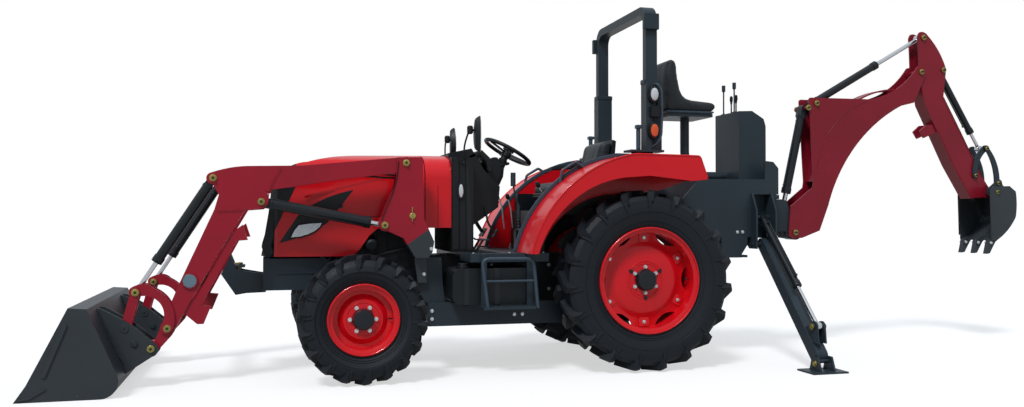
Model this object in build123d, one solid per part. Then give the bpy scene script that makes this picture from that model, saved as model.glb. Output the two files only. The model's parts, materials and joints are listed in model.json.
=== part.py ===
from build123d import *
import os
from math import atan2, cos, degrees, hypot, radians, sin, sqrt, tan

os.makedirs("parts", exist_ok=True)

# Backhoe loader on a compact tractor. All sizes are in millimetres.
# Lengths run rearward (x) from the rear axle, across (y) to the machine's right and up (z) from the ground.
# The finished pieces are moved by ORIGIN_X, so that the origin is on the ground under the machine's middle.
ORIGIN_X = 152.0

# Wheels: x is the axle, y the tyre's middle, both from the machine's centre line.
WHEELBASE = 2016.0
REAR_TYRE_R = 650.0
REAR_TYRE_WIDTH = 345.0
REAR_TYRE_Y = 678.0
REAR_RIM_R = 374.0
FRONT_TYRE_R = 430.0
FRONT_TYRE_WIDTH = 240.0
FRONT_TYRE_Y = 730.0
FRONT_RIM_R = 231.0
FRONT_X = -WHEELBASE
BEAD_IN = 36.0
BEAD_DEEP = 22.0
WALL_SHARE = 0.45
LUG_SKEW = 34.0
REAR_LUG = (40.0, 46.0, 19)
FRONT_LUG = (32.0, 40.0, 18)
REAR_DISC = 60.0
FRONT_DISC = 50.0
GAP_R = 130.0
GAP_DEEP = 46.0
HUB_IN = -20.0
STUB_R = 68.0
STUB_SHARE = 0.6

# Fits: RUN is the gap of a running joint, SEAT that of a held piece, SIDE the gap beside a swinging piece.
RUN = 0.3
SEAT = 0.3
SIDE = 3.0

# Front axle and steering.
KINGPIN_Y = 560.0
KINGPIN_R = 28.0
KNUCKLE_R = 62.0
AXLE_BEAM_Z = 470.0

# Body.
HOOD_HALF = 330.0
HOOD_WALL = 6.0
HOOD_NOSE_X = -2669.0
HOOD_REAR_X = -1534.0
HOOD_TOP = 1545.0
HOOD_HINGE = (-1531.0, 1553.0)
COWL_REAR_X = -1338.0
DASH_REAR_X = -1176.0
TOW_X = -2845.0
TOW_R = 14.0
SLOT_COUNT = 9
SLOT_LOW = 880.0
SLOT_STEP = 50.0
SLOT_HIGH = 26.0
SLOT_HALF = 215.0
COLUMN_FOOT = (-1005.0, 0.0, 1289.0)
WHEEL_HUB = (-830.0, 0.0, 1605.0)
COLUMN_R = 18.0
RAIL_R = 9.0
ENGINE_HALF = 230.0
FLOOR_Z = 848.0
CASE_TOP = FLOOR_Z - 28.0 - 0.3
FLOOR_HALF = 660.0
FENDER_WALL = 8.0
FENDER_IN = 450.0
FENDER_OUT = 845.0

# Roll-over hoop.
ROPS_HALF = 535.0
ROPS_DEEP = 90.0
ROPS_WIDE = 60.0
ROPS_X = 95.0
ROPS_TOP = 2690.0
ROPS_FOOT_Z = 1600.0
LAMP_IN = 560.0 + SEAT
LAMP_OUT = 600.0

# Loader: pins in the side view as (x, z).
ARM_Y = 490.0
ARM_WIDE = 62.0
MAST_PIN = (-1698.0, 1479.0)
LIFT_MAST_PIN = (-1845.0, 1046.0)
LIFT_ARM_PIN = (-2667.0, 1206.0)
CURL_ARM_PIN = (-2974.0, 1362.0)
CRANK_PIN = (-3253.0, 380.0)
CURL_ROD_PIN = (-3445.0, 619.0)
LINK_PIN = (-3506.0, 391.0)
BUCKET_PIN = (-3348.0, 257.0)
CROSS_TUBE = (-3116.0, 685.0)
CROSS_TUBE_R = 46.0
LOADER_BUCKET_HALF = 850.0
LOADER_BUCKET_WALL = 8.0
PLATE = 12.0
PIN_R = 16.0
LIFT_BARREL_R = 37.0
LIFT_ROD_R = 18.0
CURL_BARREL_R = 32.0
CURL_ROD_R = 16.0
LIFT_BARREL_LENGTH = 740.0
CURL_BARREL_LENGTH = 655.0
LIFT_ROD_IN = 100.0
CURL_ROD_IN = 190.0
RIB = 9.0
CRANK_LAYER = ARM_WIDE / 2 + 4
LINK_LAYER = CRANK_LAYER + PLATE + 2
EAR_LAYER = LINK_LAYER + PLATE + 4

# Backhoe: pins in the side view as (x, z).
SWING_X = 1480.0
BOOM_PIN = (1632.0, 970.0)
BOOM_ROD_PIN = (1556.0, 1140.0)
BOOM_BARREL_PIN = (1757.0, 2018.0)
CROWD_BARREL_PIN = (1838.0, 2058.0)
DIPPER_PIN = (2877.0, 2363.0)
CROWD_ROD_PIN = (2913.0, 2668.0)
CURL2_BARREL_PIN = (3119.0, 2392.0)
LEVER_PIN = (3440.0, 1467.0)
LEVER_TOP = (3545.0, 1708.0)
HOE_LINK_PIN = (3655.0, 1399.0)
HOE_PIN = (3576.0, 1318.0)
BOOM_HALF = 80.0
DIPPER_HALF = 64.0
BOOM_BARREL_R = 36.0
BOOM_ROD_R = 20.0
CROWD_BARREL_R = 32.0
CROWD_ROD_R = 18.0
HOE_BARREL_R = 28.0
HOE_ROD_R = 15.0
BOOM_BARREL_LENGTH = 735.0
CROWD_BARREL_LENGTH = 735.0
HOE_BARREL_LENGTH = 640.0
BOOM_ROD_IN = 110.0
CROWD_ROD_IN = 400.0
HOE_ROD_IN = 110.0
LEVER_IN = DIPPER_HALF + 4
LEVER_OUT = LEVER_IN + PLATE + 3
HOE_HALF = 190.0
HOE_ROOF = 1338.0

DECK_TOP = 1399.0

# Stabilisers: pins in the view from behind as (y, z).
STAB_X = 1195.0
STAB_PIN = (350.0, 887.0)
STAB_TOP_PIN = (300.0, 1100.0)
STAB_ROD_PIN = (1062.0, 317.0)
STAB_FOOT = (1120.0, 62.0)
STAB_HALF = 45.0
STAB_BARREL_R = 30.0
STAB_ROD_R = 16.0
STAB_BARREL_LENGTH = 720.0
STAB_ROD_IN = 390.0

nodes = {}


class Via(tuple):
    """A point that an arc passes through, between its two neighbours."""


def outline(*points):
    """Closed face through the points, by lines, and by an arc wherever a Via stands between two points."""
    loop = list(points) + [points[0]]
    edges = []
    i = 0
    while i < len(loop) - 1:
        if isinstance(loop[i + 1], Via):
            edges.append(ThreePointArc(loop[i], tuple(loop[i + 1]), loop[i + 2]))
            i += 2
        else:
            edges.append(Line(loop[i], loop[i + 1]))
            i += 1
    return make_face(edges)


def across(face, y_low, y_high):
    """A side-view face (x, z) made solid from y_low to y_high."""
    plane = Plane(origin=(0, y_low, 0), x_dir=(1, 0, 0), z_dir=(0, -1, 0))
    return extrude(plane * face, amount=y_high - y_low, dir=(0, 1, 0))


def along(face, x_low, x_high):
    """A front-view face (y, z) made solid from x_low to x_high."""
    plane = Plane(origin=(x_low, 0, 0), x_dir=(0, 1, 0), z_dir=(1, 0, 0))
    return extrude(plane * face, amount=x_high - x_low)


def upward(face, z_low, z_high):
    """A top-view face (x, y) made solid from z_low to z_high."""
    return extrude(Pos(0, 0, z_low) * face, amount=z_high - z_low)


def block(x_low, x_high, y_low, y_high, z_low, z_high):
    """A box between two corners."""
    size = (x_high - x_low, y_high - y_low, z_high - z_low)
    return Pos(x_low, y_low, z_low) * Box(*size, align=(Align.MIN, Align.MIN, Align.MIN))


def bar(start, end, radius):
    """A round bar between two points in space."""
    run = Vector(*end) - Vector(*start)
    ends = (Align.CENTER, Align.CENTER, Align.MIN)
    return Plane(origin=start, z_dir=run.normalized()) * Cylinder(radius, run.length, align=ends)


def pin(place, y_low, y_high, radius=PIN_R):
    """A round bar across the machine at a side-view place (x, z)."""
    return bar((place[0], y_low, place[1]), (place[0], y_high, place[1]), radius)


def disc(place, radius):
    """A round face in the side view."""
    return Pos(*place) * Circle(radius)


def strap(start, end, radius):
    """A side-view face with round ends about two places."""
    run = (end[0] - start[0], end[1] - start[1])
    length = hypot(*run)
    middle = ((start[0] + end[0]) / 2, (start[1] + end[1]) / 2)
    bar_face = Pos(*middle) * Rot(0, 0, degrees(atan2(run[1], run[0]))) * Rectangle(length, 2 * radius)
    return bar_face + disc(start, radius) + disc(end, radius)


def toward(start, end, distance):
    """The place that lies a distance from start on the way to end."""
    length = hypot(end[0] - start[0], end[1] - start[1])
    share = distance / length
    return (start[0] + share * (end[0] - start[0]), start[1] + share * (end[1] - start[1]))


def mirrored(shape):
    """The same piece on the machine's other side."""
    return mirror(shape, about=Plane.XZ)


def keep(name, *shapes):
    """Store one node, made of one or more solids that do not touch."""
    nodes[name] = Compound([solid for shape in shapes for solid in shape.solids()])


def both_sides(name, shape):
    """Store a node of two like pieces, one on each side."""
    keep(name, shape, mirrored(shape))


# Wheels, drawn as a half section (radius, outward) and turned about their own axis.
def wheel_ring(section):
    """Turn a section (radius, outward) about the wheel's axis."""
    return revolve(Plane.XZ * section, Axis.Z)


def on_axle(shape, x, y, z):
    """Put a wheel piece on its axle, its outer side away from the machine."""
    outward = -1 if y < 0 else 1
    placed = Plane(origin=(x, -abs(y), z), x_dir=(1, 0, 0), z_dir=(0, -1, 0)) * shape
    return placed if outward < 0 else mirrored(placed)


def tyre(radius, width, rim_r, lug_deep, lug_wide, lug_count):
    """Tyre with round walls and a flat tread, and a bar on alternate sides at each step round it."""
    half = width / 2
    bead = rim_r - BEAD_DEEP
    wall = rim_r + WALL_SHARE * (radius - rim_r)
    seat = half - BEAD_IN
    floor = radius - lug_deep
    half_section = (
        (bead, seat), (rim_r + 8, seat), (wall, half), (floor - 36, half - 8), (floor - 8, half - 34),
    )
    carcass = wheel_ring(outline(*[(r, -y) for r, y in half_section], *reversed(half_section)))
    middle = half / 2
    skew = radians(LUG_SKEW)
    swept = middle * tan(skew) + lug_wide / cos(skew) / 2
    top = sqrt(radius ** 2 - swept ** 2)
    bar_face = outline(*[((y - middle) / cos(skew), r) for y, r in (
        (6, floor - 18), (half - 40, floor - 18), (half - 16, floor - 62), (half - 3, floor - 44),
        (half - 5, top - 16), (half - 30, top), (6, top),
    )])
    bars = []
    for side, start in ((-1, 0.0), (1, 0.5)):
        plane = Plane(
            origin=(0, 0, side * middle), x_dir=(0, sin(skew), side * cos(skew)),
            z_dir=(0, side * cos(skew), -sin(skew)),
        )
        lug = extrude(plane * bar_face, amount=lug_wide / 2, both=True)
        bars += [Rot(0, 0, (k + start) * 360 / lug_count) * lug for k in range(lug_count)]
    return carcass.fuse(*bars)


def rim(rim_r, width, disc_out, hub_r, hub_in, stub_r, stub_in, gaps):
    """Rim with two flanges, a dished disc and the hub that the axle drives."""
    flange_in = width / 2 - BEAD_IN + SEAT
    flange_out = flange_in + 11
    bead = rim_r - BEAD_DEEP - SEAT
    well = bead - 10
    shell = outline(
        (well, -flange_in), (rim_r - 6, -flange_out), (rim_r + 6, -flange_out), (rim_r + 6, -flange_in),
        (bead, -flange_in),
        (bead, flange_in), (rim_r + 6, flange_in), (rim_r + 6, flange_out), (rim_r - 6, flange_out),
        (well, flange_in),
    )
    dish = outline(
        (0, disc_out - 12), (well * 0.62, disc_out - 12), (well * 0.80, disc_out - 42),
        (well + 2, disc_out - 42),
        (well + 2, disc_out - 30), (well * 0.83, disc_out - 30), (well * 0.65, disc_out), (0, disc_out),
    )
    hub = outline((0, hub_in), (stub_r, hub_in), (stub_r, disc_out + 34), (0, disc_out + 34))
    flange = outline((0, disc_out - 36), (hub_r, disc_out - 36), (hub_r, disc_out - 11), (0, disc_out - 11))
    stub = outline(
        (0, stub_in), (stub_r * STUB_SHARE, stub_in), (stub_r * STUB_SHARE, hub_in + 1), (0, hub_in + 1),
    )
    bowl = wheel_ring(dish)
    for k in range(gaps):
        reach = well + GAP_R - GAP_DEEP
        bowl -= Rot(0, 0, k * 360 / gaps) * Pos(reach, 0, disc_out - 80) * Cylinder(
            GAP_R, 120, align=(Align.CENTER, Align.CENTER, Align.MIN))
    return wheel_ring(shell) + bowl + wheel_ring(hub) + wheel_ring(flange) + wheel_ring(stub)


WHEELS = (
    # end, axle x, tyre middle, tyre radius and width, rim radius, lug, disc outward, hub radius, gaps, stub
    (
        "rear", 0.0, REAR_TYRE_Y, REAR_TYRE_R, REAR_TYRE_WIDTH, REAR_RIM_R, REAR_LUG, REAR_DISC, 110.0, 6,
        -290.0,
    ),
    (
        "front", FRONT_X, FRONT_TYRE_Y, FRONT_TYRE_R, FRONT_TYRE_WIDTH, FRONT_RIM_R, FRONT_LUG, FRONT_DISC,
        100.0, 0, -118.0,
    ),
)
for end, x, y, tyre_r, tyre_w, rim_r, lug, disc_out, hub_r, gaps, stub_in in WHEELS:
    tyre_shape = tyre(tyre_r, tyre_w, rim_r, *lug)
    rim_shape = rim(rim_r, tyre_w, disc_out, hub_r, HUB_IN, STUB_R, stub_in, gaps)
    for side, sign in (("left", -1), ("right", 1)):
        keep(end + "_" + side + "_tyre", on_axle(tyre_shape, x, sign * y, tyre_r))
        keep(end + "_" + side + "_rim", on_axle(rim_shape, x, sign * y, tyre_r))


# Front axle: a beam with a fork at each end, and the knuckles that turn in the forks.
def front_axle():
    """Axle beam under the front frame, with a kingpin eye at each end."""
    beam = outline(
        (-KINGPIN_Y + 90, AXLE_BEAM_Z - 55), (-150, AXLE_BEAM_Z - 70), (150, AXLE_BEAM_Z - 70),
        (KINGPIN_Y - 90, AXLE_BEAM_Z - 55), (KINGPIN_Y - 90, AXLE_BEAM_Z + 55), (150, AXLE_BEAM_Z + 70),
        (-150, AXLE_BEAM_Z + 70), (-KINGPIN_Y + 90, AXLE_BEAM_Z + 55),
    )
    shape = along(beam, FRONT_X - 60, FRONT_X + 60)
    shape += bar((FRONT_X - 130, 0, AXLE_BEAM_Z), (FRONT_X + 130, 0, AXLE_BEAM_Z), 48)
    for side in (-1, 1):
        for z_low, z_high in ((AXLE_BEAM_Z - 110, AXLE_BEAM_Z - 72), (AXLE_BEAM_Z + 72, AXLE_BEAM_Z + 110)):
            ear = block(FRONT_X - 45, FRONT_X + 45, KINGPIN_Y - 140, KINGPIN_Y, z_low, z_high)
            ear += Pos(FRONT_X, KINGPIN_Y, z_low) * Cylinder(
                45, z_high - z_low, align=(Align.CENTER, Align.CENTER, Align.MIN),
            )
            shape += ear if side > 0 else mirrored(ear)
        web = block(
            FRONT_X - 45, FRONT_X + 45, KINGPIN_Y - 140, KINGPIN_Y - 90, AXLE_BEAM_Z - 110,
            AXLE_BEAM_Z + 110,
        )
        shape += web if side > 0 else mirrored(web)
        king = bar(
            (FRONT_X, side * KINGPIN_Y, AXLE_BEAM_Z - 112), (FRONT_X, side * KINGPIN_Y, AXLE_BEAM_Z + 112),
            KINGPIN_R + RUN,
        )
        shape -= king
    return shape


def knuckle():
    """Final drive case between the fork's ears, with its kingpin and the boss that carries the wheel."""
    stub = STUB_SHARE * STUB_R + RUN
    case = bar(
        (FRONT_X, KINGPIN_Y, AXLE_BEAM_Z - 72 + SIDE), (FRONT_X, KINGPIN_Y, AXLE_BEAM_Z + 72 - SIDE),
        KNUCKLE_R,
    )
    king = bar((FRONT_X, KINGPIN_Y, AXLE_BEAM_Z - 110), (FRONT_X, KINGPIN_Y, AXLE_BEAM_Z + 110), KINGPIN_R)
    boss = pin((FRONT_X, FRONT_TYRE_R), KINGPIN_Y + 50, FRONT_TYRE_Y - 23, 66)
    arm = block(
        FRONT_X + 40, FRONT_X + 150, KINGPIN_Y - 20, KINGPIN_Y + 20, AXLE_BEAM_Z - 16, AXLE_BEAM_Z + 16,
    )
    bore = pin((FRONT_X, FRONT_TYRE_R), FRONT_TYRE_Y - 119, FRONT_TYRE_Y, stub)
    return case + king + boss + arm - bore


keep("front_axle", front_axle())
keep("knuckle_left", mirrored(knuckle()))
keep("knuckle_right", knuckle())


# Chassis: front frame, engine, drive case with the rear axle housings.
def front_frame():
    """Casting ahead of the engine that carries the axle's pivot, the tow bracket and the battery tray."""
    x_low, x_high = -2655.0, -2190.0
    shape = block(x_low, x_high, -250, 250, 640, 812) - block(x_low + 16, x_high - 16, -220, 220, 660, 830)
    shape += block(x_low, -1560, -250, -210, 590, 720) + block(x_low, -1560, 210, 250, 590, 720)
    shape += block(x_low, x_low + 20, -250, 250, 580, 700)
    for x in (FRONT_X - 128, FRONT_X + 68):
        shape += block(x, x + 60, -230, 230, 540, 650) - bar(
            (x - 1, 0, AXLE_BEAM_Z), (x + 61, 0, AXLE_BEAM_Z), 48 + RUN,
        )
        yoke = block(x, x + 60, -90, 90, 400, 560) - bar(
            (x - 1, 0, AXLE_BEAM_Z), (x + 61, 0, AXLE_BEAM_Z), 48 + RUN,
        )
        shape += yoke
    plate = outline(
        (-2640, 696), (-2772, 720), (-2836, 735), (-2877, 834), (-2941, 701), (-2842, 552), (-2771, 564),
        (-2640, 568),
    )
    shape += across(plate, -110, -90) + across(plate, 90, 110) + block(-2790, -2640, -100, 100, 568, 590)
    tow = block(-2900, -2780, -91, 91, 745, 761)
    return shape + tow - bar((TOW_X, 0, 740), (TOW_X, 0, 770), TOW_R)


keep("front_frame", front_frame())
keep("engine", block(-2160, -1558 - SEAT, -ENGINE_HALF + 25, ENGINE_HALF - 25, 650 + SEAT, 1400))


def drive_case():
    """Clutch housing, gearbox and rear axle housings in one casting."""
    shape = block(-1558, -900, -170, 170, 560, CASE_TOP) + block(-900, 250, -205, 205, 470, CASE_TOP)
    shape += pin((0, REAR_TYRE_R), -445, 445, 85)
    for side in (-1, 1):
        shape += block(-110, 110, side * 300 - 90, side * 300 + 90, 560, 760)
        shape -= pin((0, REAR_TYRE_R), side * 446 - 60, side * 446 + 60, STUB_SHARE * STUB_R + RUN)
    return shape


keep("drive_case", drive_case())


# Hood, grille, lamps and the red panels behind.
def hood_form(inset, nose):
    """Closed form of the hood; with an inset it is smaller above, beside and ahead, and longer below."""
    foot = [(HOOD_REAR_X, 1020), (-1870, 1020), (-1925, 975), (-2000, 868), (-2051, 826), (nose, 826)]
    if inset:
        foot = [(HOOD_REAR_X, 700), (nose + inset, 700)]
    side = outline(
        foot[-1], (nose + 35 + inset, 1000), (nose + 69 + inset, 1300), Via((nose + 149 + inset, 1425)),
        (nose + 309, 1490 - inset), Via((-2170, 1533 - inset)), (-1972, HOOD_TOP + 4 - inset),
        (HOOD_REAR_X, HOOD_TOP + 14 - inset),
        *foot[:-1],
    )
    front = outline(
        (-HOOD_HALF + inset, 690), (-HOOD_HALF + inset, 1380), Via((-HOOD_HALF + 48 + inset, 1488 - inset)),
        (-HOOD_HALF + 160, 1540 - inset), Via((0, 1562 - inset)), (HOOD_HALF - 160, 1540 - inset),
        Via((HOOD_HALF - 48 - inset, 1488 - inset)), (HOOD_HALF - inset, 1380), (HOOD_HALF - inset, 690),
    )
    top = outline(
        (HOOD_REAR_X, -HOOD_HALF + inset), (-2150, -HOOD_HALF + inset), (nose + 109, -295 + inset),
        Via((nose - 10 + inset, 0)), (nose + 109, 295 - inset), (-2150, HOOD_HALF - inset),
        (HOOD_REAR_X, HOOD_HALF - inset),
    )
    form = across(side, -HOOD_HALF - 40, HOOD_HALF + 40)
    form = form & along(front, nose - 60, HOOD_REAR_X)
    return form & upward(top, 680, HOOD_TOP + 60)


def hood_shell():
    """Hood wall, open below and behind."""
    return hood_form(0, HOOD_NOSE_X) - hood_form(HOOD_WALL, HOOD_NOSE_X)


GRILLE_LINE = outline(
    (HOOD_NOSE_X - 131, 700), (HOOD_NOSE_X + 86, 700), (HOOD_NOSE_X + 86, 826), (HOOD_NOSE_X + 91, 1004),
    (HOOD_NOSE_X + 233, 1314), (HOOD_NOSE_X + 233, 1700), (HOOD_NOSE_X - 131, 1700),
)
shell = hood_shell()
grille_zone = across(GRILLE_LINE, -400, 400)
pod_face = outline(
    (HOOD_NOSE_X + 121, 921), (HOOD_NOSE_X + 263, 1135), Via((HOOD_NOSE_X + 429, 1230)),
    (HOOD_NOSE_X + 629, 1293),
    (HOOD_NOSE_X + 451, 1063), Via((HOOD_NOSE_X + 289, 975)),
)
lens_face = outline(
    (HOOD_NOSE_X + 193, 956), (HOOD_NOSE_X + 263, 1051), (HOOD_NOSE_X + 415, 1063),
    (HOOD_NOSE_X + 357, 1015),
)
pods = across(pod_face, -400, -200) + across(pod_face, 200, 400)
lenses = across(lens_face, -400, -200) + across(lens_face, 200, 400)
grille = (shell & (grille_zone + pods)) - lenses
for level in range(SLOT_COUNT):
    low = SLOT_LOW + level * SLOT_STEP
    grille -= block(HOOD_NOSE_X - 131, HOOD_NOSE_X + 180, -SLOT_HALF, SLOT_HALF, low, low + SLOT_HIGH)
keep("grille", grille)
hinge_leaf = outline((-1600, 1550), (-1533, 1550), (-1531, 1547), (-1531, 1560), (-1600, 1557))
hinge_knuckle = pin(HOOD_HINGE, -30, 30, 9) + across(hinge_leaf, -30, 30)
ear_room = across(disc(HOOD_HINGE, 11), -45, -31) + across(disc(HOOD_HINGE, 11), 31, 45)
keep("hood", (shell - grille_zone - pods - ear_room + hinge_knuckle) - pin(HOOD_HINGE, -60, 60, 5 + RUN))
keep("headlamps", (shell & lenses) - grille_zone)


def cowl():
    """Fixed red panels between the hood and the dash."""
    face = outline(
        (-HOOD_HALF, 1024), (-HOOD_HALF, 1380), Via((-HOOD_HALF + 48, 1488)), (-HOOD_HALF + 160, 1540),
        Via((0, 1562)), (HOOD_HALF - 160, 1540), Via((HOOD_HALF - 48, 1488)), (HOOD_HALF, 1380),
        (HOOD_HALF, 1024),
    )
    inner = offset(face, amount=-HOOD_WALL)
    shape = along(face, HOOD_REAR_X + 6, COWL_REAR_X) - along(inner, HOOD_REAR_X, COWL_REAR_X - 8)
    shape -= across(disc(HOOD_HINGE, 13), -32, 32)
    ear = disc(HOOD_HINGE, 8) + outline((-1531, 1545), (-1500, 1549), (-1500, 1558), (-1531, 1561))
    shape += across(ear, 33, 43) + across(ear, -43, -33) + pin(HOOD_HINGE, -43, 43, 5)
    return shape - block(
        HOOD_REAR_X, COWL_REAR_X - 8, -HOOD_HALF + HOOD_WALL, HOOD_HALF - HOOD_WALL, 1000, 1100,
    )


keep("cowl", cowl())


def dash():
    """Dash tower with its hood over the instruments, standing on the floor."""
    wall = block(COWL_REAR_X + SEAT, DASH_REAR_X, -340, 340, FLOOR_Z + SEAT, 1536)
    pod = outline(
        (-1334, 1536), (-1334, 1575), (-1158, 1613), (-1063, 1455), (-940, 1330), (-952, 1175),
        (-1144, 1042), (-1176, 1042),
    )
    housing = bar(
        COLUMN_FOOT, tuple(Vector(*COLUMN_FOOT) + 0.8 * (Vector(*WHEEL_HUB) - Vector(*COLUMN_FOOT))), 36,
    )
    return wall + across(pod, -190, 190) + housing - bar(COLUMN_FOOT, WHEEL_HUB, COLUMN_R + RUN)


keep("dash", dash())


def steering_wheel():
    """Ring, three spokes, hub and the shaft that turns in the column."""
    axis = (Vector(*WHEEL_HUB) - Vector(*COLUMN_FOOT)).normalized()
    plane = Plane(origin=WHEEL_HUB, z_dir=axis)
    ring = Torus(190, 15)
    hub = Pos(0, 0, -22) * Cylinder(38, 40)
    spokes = [Rot(0, 0, a) * Pos(105, 0, -14) * Box(170, 26, 12) for a in (90, 210, 330)]
    shape = ring + hub
    for spoke in spokes:
        shape += spoke
    return plane * shape + bar(COLUMN_FOOT, WHEEL_HUB, COLUMN_R)


keep("steering_wheel", steering_wheel())


# Operator's floor, steps, fuel tank, fenders, seat.
def platform():
    """Floor plate with a hanging step on each side."""
    floor = block(-1268, -700, -FLOOR_HALF, FLOOR_HALF, FLOOR_Z - 28, FLOOR_Z)
    edge = block(-1268, -700, -FLOOR_HALF, FLOOR_HALF, FLOOR_Z - 60, FLOOR_Z - 27)
    floor += edge - block(-1256, -712, -FLOOR_HALF + 12, FLOOR_HALF - 12, 700, FLOOR_Z - 20)
    floor -= block(-1300, -690, -215, 215, FLOOR_Z - 100, FLOOR_Z - 28)
    step = block(-1195, -825, FLOOR_HALF, FLOOR_HALF + 100, 465, 485)
    for x in (-1175, -845):
        step += block(x - 20, x + 20, FLOOR_HALF - 1, FLOOR_HALF + 14, 480, FLOOR_Z)
    lever = block(-850, -800, -330, -280, FLOOR_Z - 1, 1010) + bar(
        (-825, -305, 1009), (-825, -305, 1190), 14,
    )
    lever += bar((-825, -305, 1180), (-852, -305, 1260), 6) + bar((-852, -305, 1258), (-868, -305, 1345), 6)
    lever += bar((-868, -305, 1330), (-868, -305, 1430), 19)
    floor += lever
    for y in (-250, -130, 210):
        floor += bar((DASH_REAR_X + 40, y, FLOOR_Z - 1), (DASH_REAR_X + 90, y, 930), 8)
        floor += block(DASH_REAR_X + 60, DASH_REAR_X + 130, y - 38, y + 38, 928, 938)
    return floor + step + mirrored(step)


keep("platform", platform())
keep("fuel_tank", fillet(block(-1390, -780, -640, -300, 494 + SEAT, 745).edges().filter_by(Axis.Y), 60))


def fender():
    """Fender over one rear tyre: top band, outer lip and inner wall."""
    top = outline(
        (-880, FLOOR_Z + SEAT), Via((-655, 1265)), (-110, 1548), (382, 1540), (440, 1372),
        (440 - FENDER_WALL, 1372), (382 - FENDER_WALL, 1540 - FENDER_WALL), (-110, 1548 - FENDER_WALL),
        Via((-655 + 6, 1265 - 6)), (-880 + FENDER_WALL, FLOOR_Z + SEAT),
    )
    lip = outline(
        (-880, FLOOR_Z + SEAT), Via((-655, 1265)), (-110, 1548), (382, 1540), (440, 1372), (320, 1360),
        (0, 1395),
        (-126, 1385), Via((-590, 1210)), (-830, FLOOR_Z + SEAT),
    )
    wall = outline(
        (-880, FLOOR_Z + SEAT), Via((-655, 1265)), (-110, 1548), (382, 1540), (440, 1372), (200, 1290),
        (-150, 1270), Via((-520, 1120)),
        (-702, FLOOR_Z + SEAT),
    )
    shape = across(top, FENDER_IN, FENDER_OUT)
    rail = ((-560, 1352), (-540, 1445), (-440, 1505), (-372, 1462))
    for start, end in zip(rail, rail[1:]):
        shape += bar((start[0], FENDER_IN + 30, start[1]), (end[0], FENDER_IN + 30, end[1]), RAIL_R)
    shape += bar(
        (rail[3][0], FENDER_IN + 30, rail[3][1] + 3), (rail[3][0] + 8, FENDER_IN + 30, 1425), RAIL_R,
    )
    for place in rail[1:]:
        shape += Pos(place[0], FENDER_IN + 30, place[1]) * Sphere(RAIL_R)
    shape += across(lip, FENDER_OUT - FENDER_WALL, FENDER_OUT)
    return shape + across(wall, FENDER_IN, FENDER_IN + FENDER_WALL)


both_sides("fenders", fender())


def seat_deck():
    """Raised deck between the fenders that carries the seat, with a console at each side."""
    half = FENDER_IN - 24
    shape = block(-690, 100, -half, half, 1120, 1150)
    riser = block(-690, -660, -half, half, CASE_TOP + SEAT, 1121)
    shape += riser - block(-700, -650, -FLOOR_HALF, FLOOR_HALF, 780, FLOOR_Z + SEAT)
    shape += block(-110, 110, -200, 200, CASE_TOP + SEAT, 1121)
    for side in (-1, 1):
        console = block(-660, -60, 330, half, 1150, 1290)
        shape += console if side > 0 else mirrored(console)
    shape += block(-480, -200, -140, 140, 1150, 1235)
    return shape


keep("seat_deck", seat_deck())


def driver_seat():
    """Seat cushion and back rest."""
    cushion = fillet(block(-560, -120, -235, 235, 1235 + SEAT, 1340).edges(), 30)
    back = outline((-150, 1300), (-230, 1330), (-130, 1665), Via((-75, 1700)), (-25, 1665), (-90, 1300))
    return cushion + across(back, -225, 225)


keep("driver_seat", driver_seat())


# Roll-over hoop: two posts and a top bar with round corners, on feet over the fenders.
def rops():
    """Hoop of square tube, with the lower brackets down to the axle housings."""
    path_in = ROPS_HALF - ROPS_WIDE
    hoop = outline(
        (-ROPS_HALF, ROPS_FOOT_Z), (-ROPS_HALF, ROPS_TOP - 120), Via((-ROPS_HALF + 35, ROPS_TOP - 35)),
        (-ROPS_HALF + 120, ROPS_TOP), (ROPS_HALF - 120, ROPS_TOP), Via((ROPS_HALF - 35, ROPS_TOP - 35)),
        (ROPS_HALF, ROPS_TOP - 120), (ROPS_HALF, ROPS_FOOT_Z), (path_in, ROPS_FOOT_Z),
        (path_in, ROPS_TOP - 140), Via((path_in - 23, ROPS_TOP - 83)), (path_in - 80, ROPS_TOP - 60),
        (-path_in + 80, ROPS_TOP - 60), Via((-path_in + 23, ROPS_TOP - 83)), (-path_in, ROPS_TOP - 140),
        (-path_in, ROPS_FOOT_Z),
    )
    shape = along(hoop, ROPS_X, ROPS_X + ROPS_DEEP)
    for side in (-1, 1):
        foot = block(-42, 224, 430, 575, ROPS_FOOT_Z - 16, ROPS_FOOT_Z)
        sleeve = block(ROPS_X - 8, ROPS_X + ROPS_DEEP + 26, 460, 560, ROPS_FOOT_Z, 2115)
        foot += sleeve - block(ROPS_X, ROPS_X + ROPS_DEEP, 475, ROPS_HALF, 1500, 2200)
        foot += block(20, 180, 430, 448, 760 + SEAT, ROPS_FOOT_Z - 16)
        foot += block(20, 110, 330, 448, 760 + SEAT, 785)
        shape += foot if side > 0 else mirrored(foot)
    return shape


keep("rops", rops())
keep("rops_lamps", *[side for lamp in (
    bar((150, LAMP_IN, 2010), (150, LAMP_OUT, 2010), 42), block(112, 190, LAMP_IN, LAMP_OUT, 1842, 1922),
    bar((150, LAMP_IN, 1742), (150, LAMP_OUT, 1742), 42),
) for side in (lamp, mirrored(lamp))])


def mirror_arm():
    """Rear-view mirror on a stalk from the dash."""
    stalk = block(-1265, -1235, -356, -340 - SEAT, 1485, 1515)
    stalk += bar(
        (-1250, -350, 1500), (-1200, -400, 1640), 9,
    ) + bar((-1200, -400, 1640), (-1165, -430, 1740), 9)
    head = block(-1180, -1150, -500, -380, 1670, 1850)
    return stalk + head


keep("mirrors", mirror_arm(), mirrored(mirror_arm()))


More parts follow.
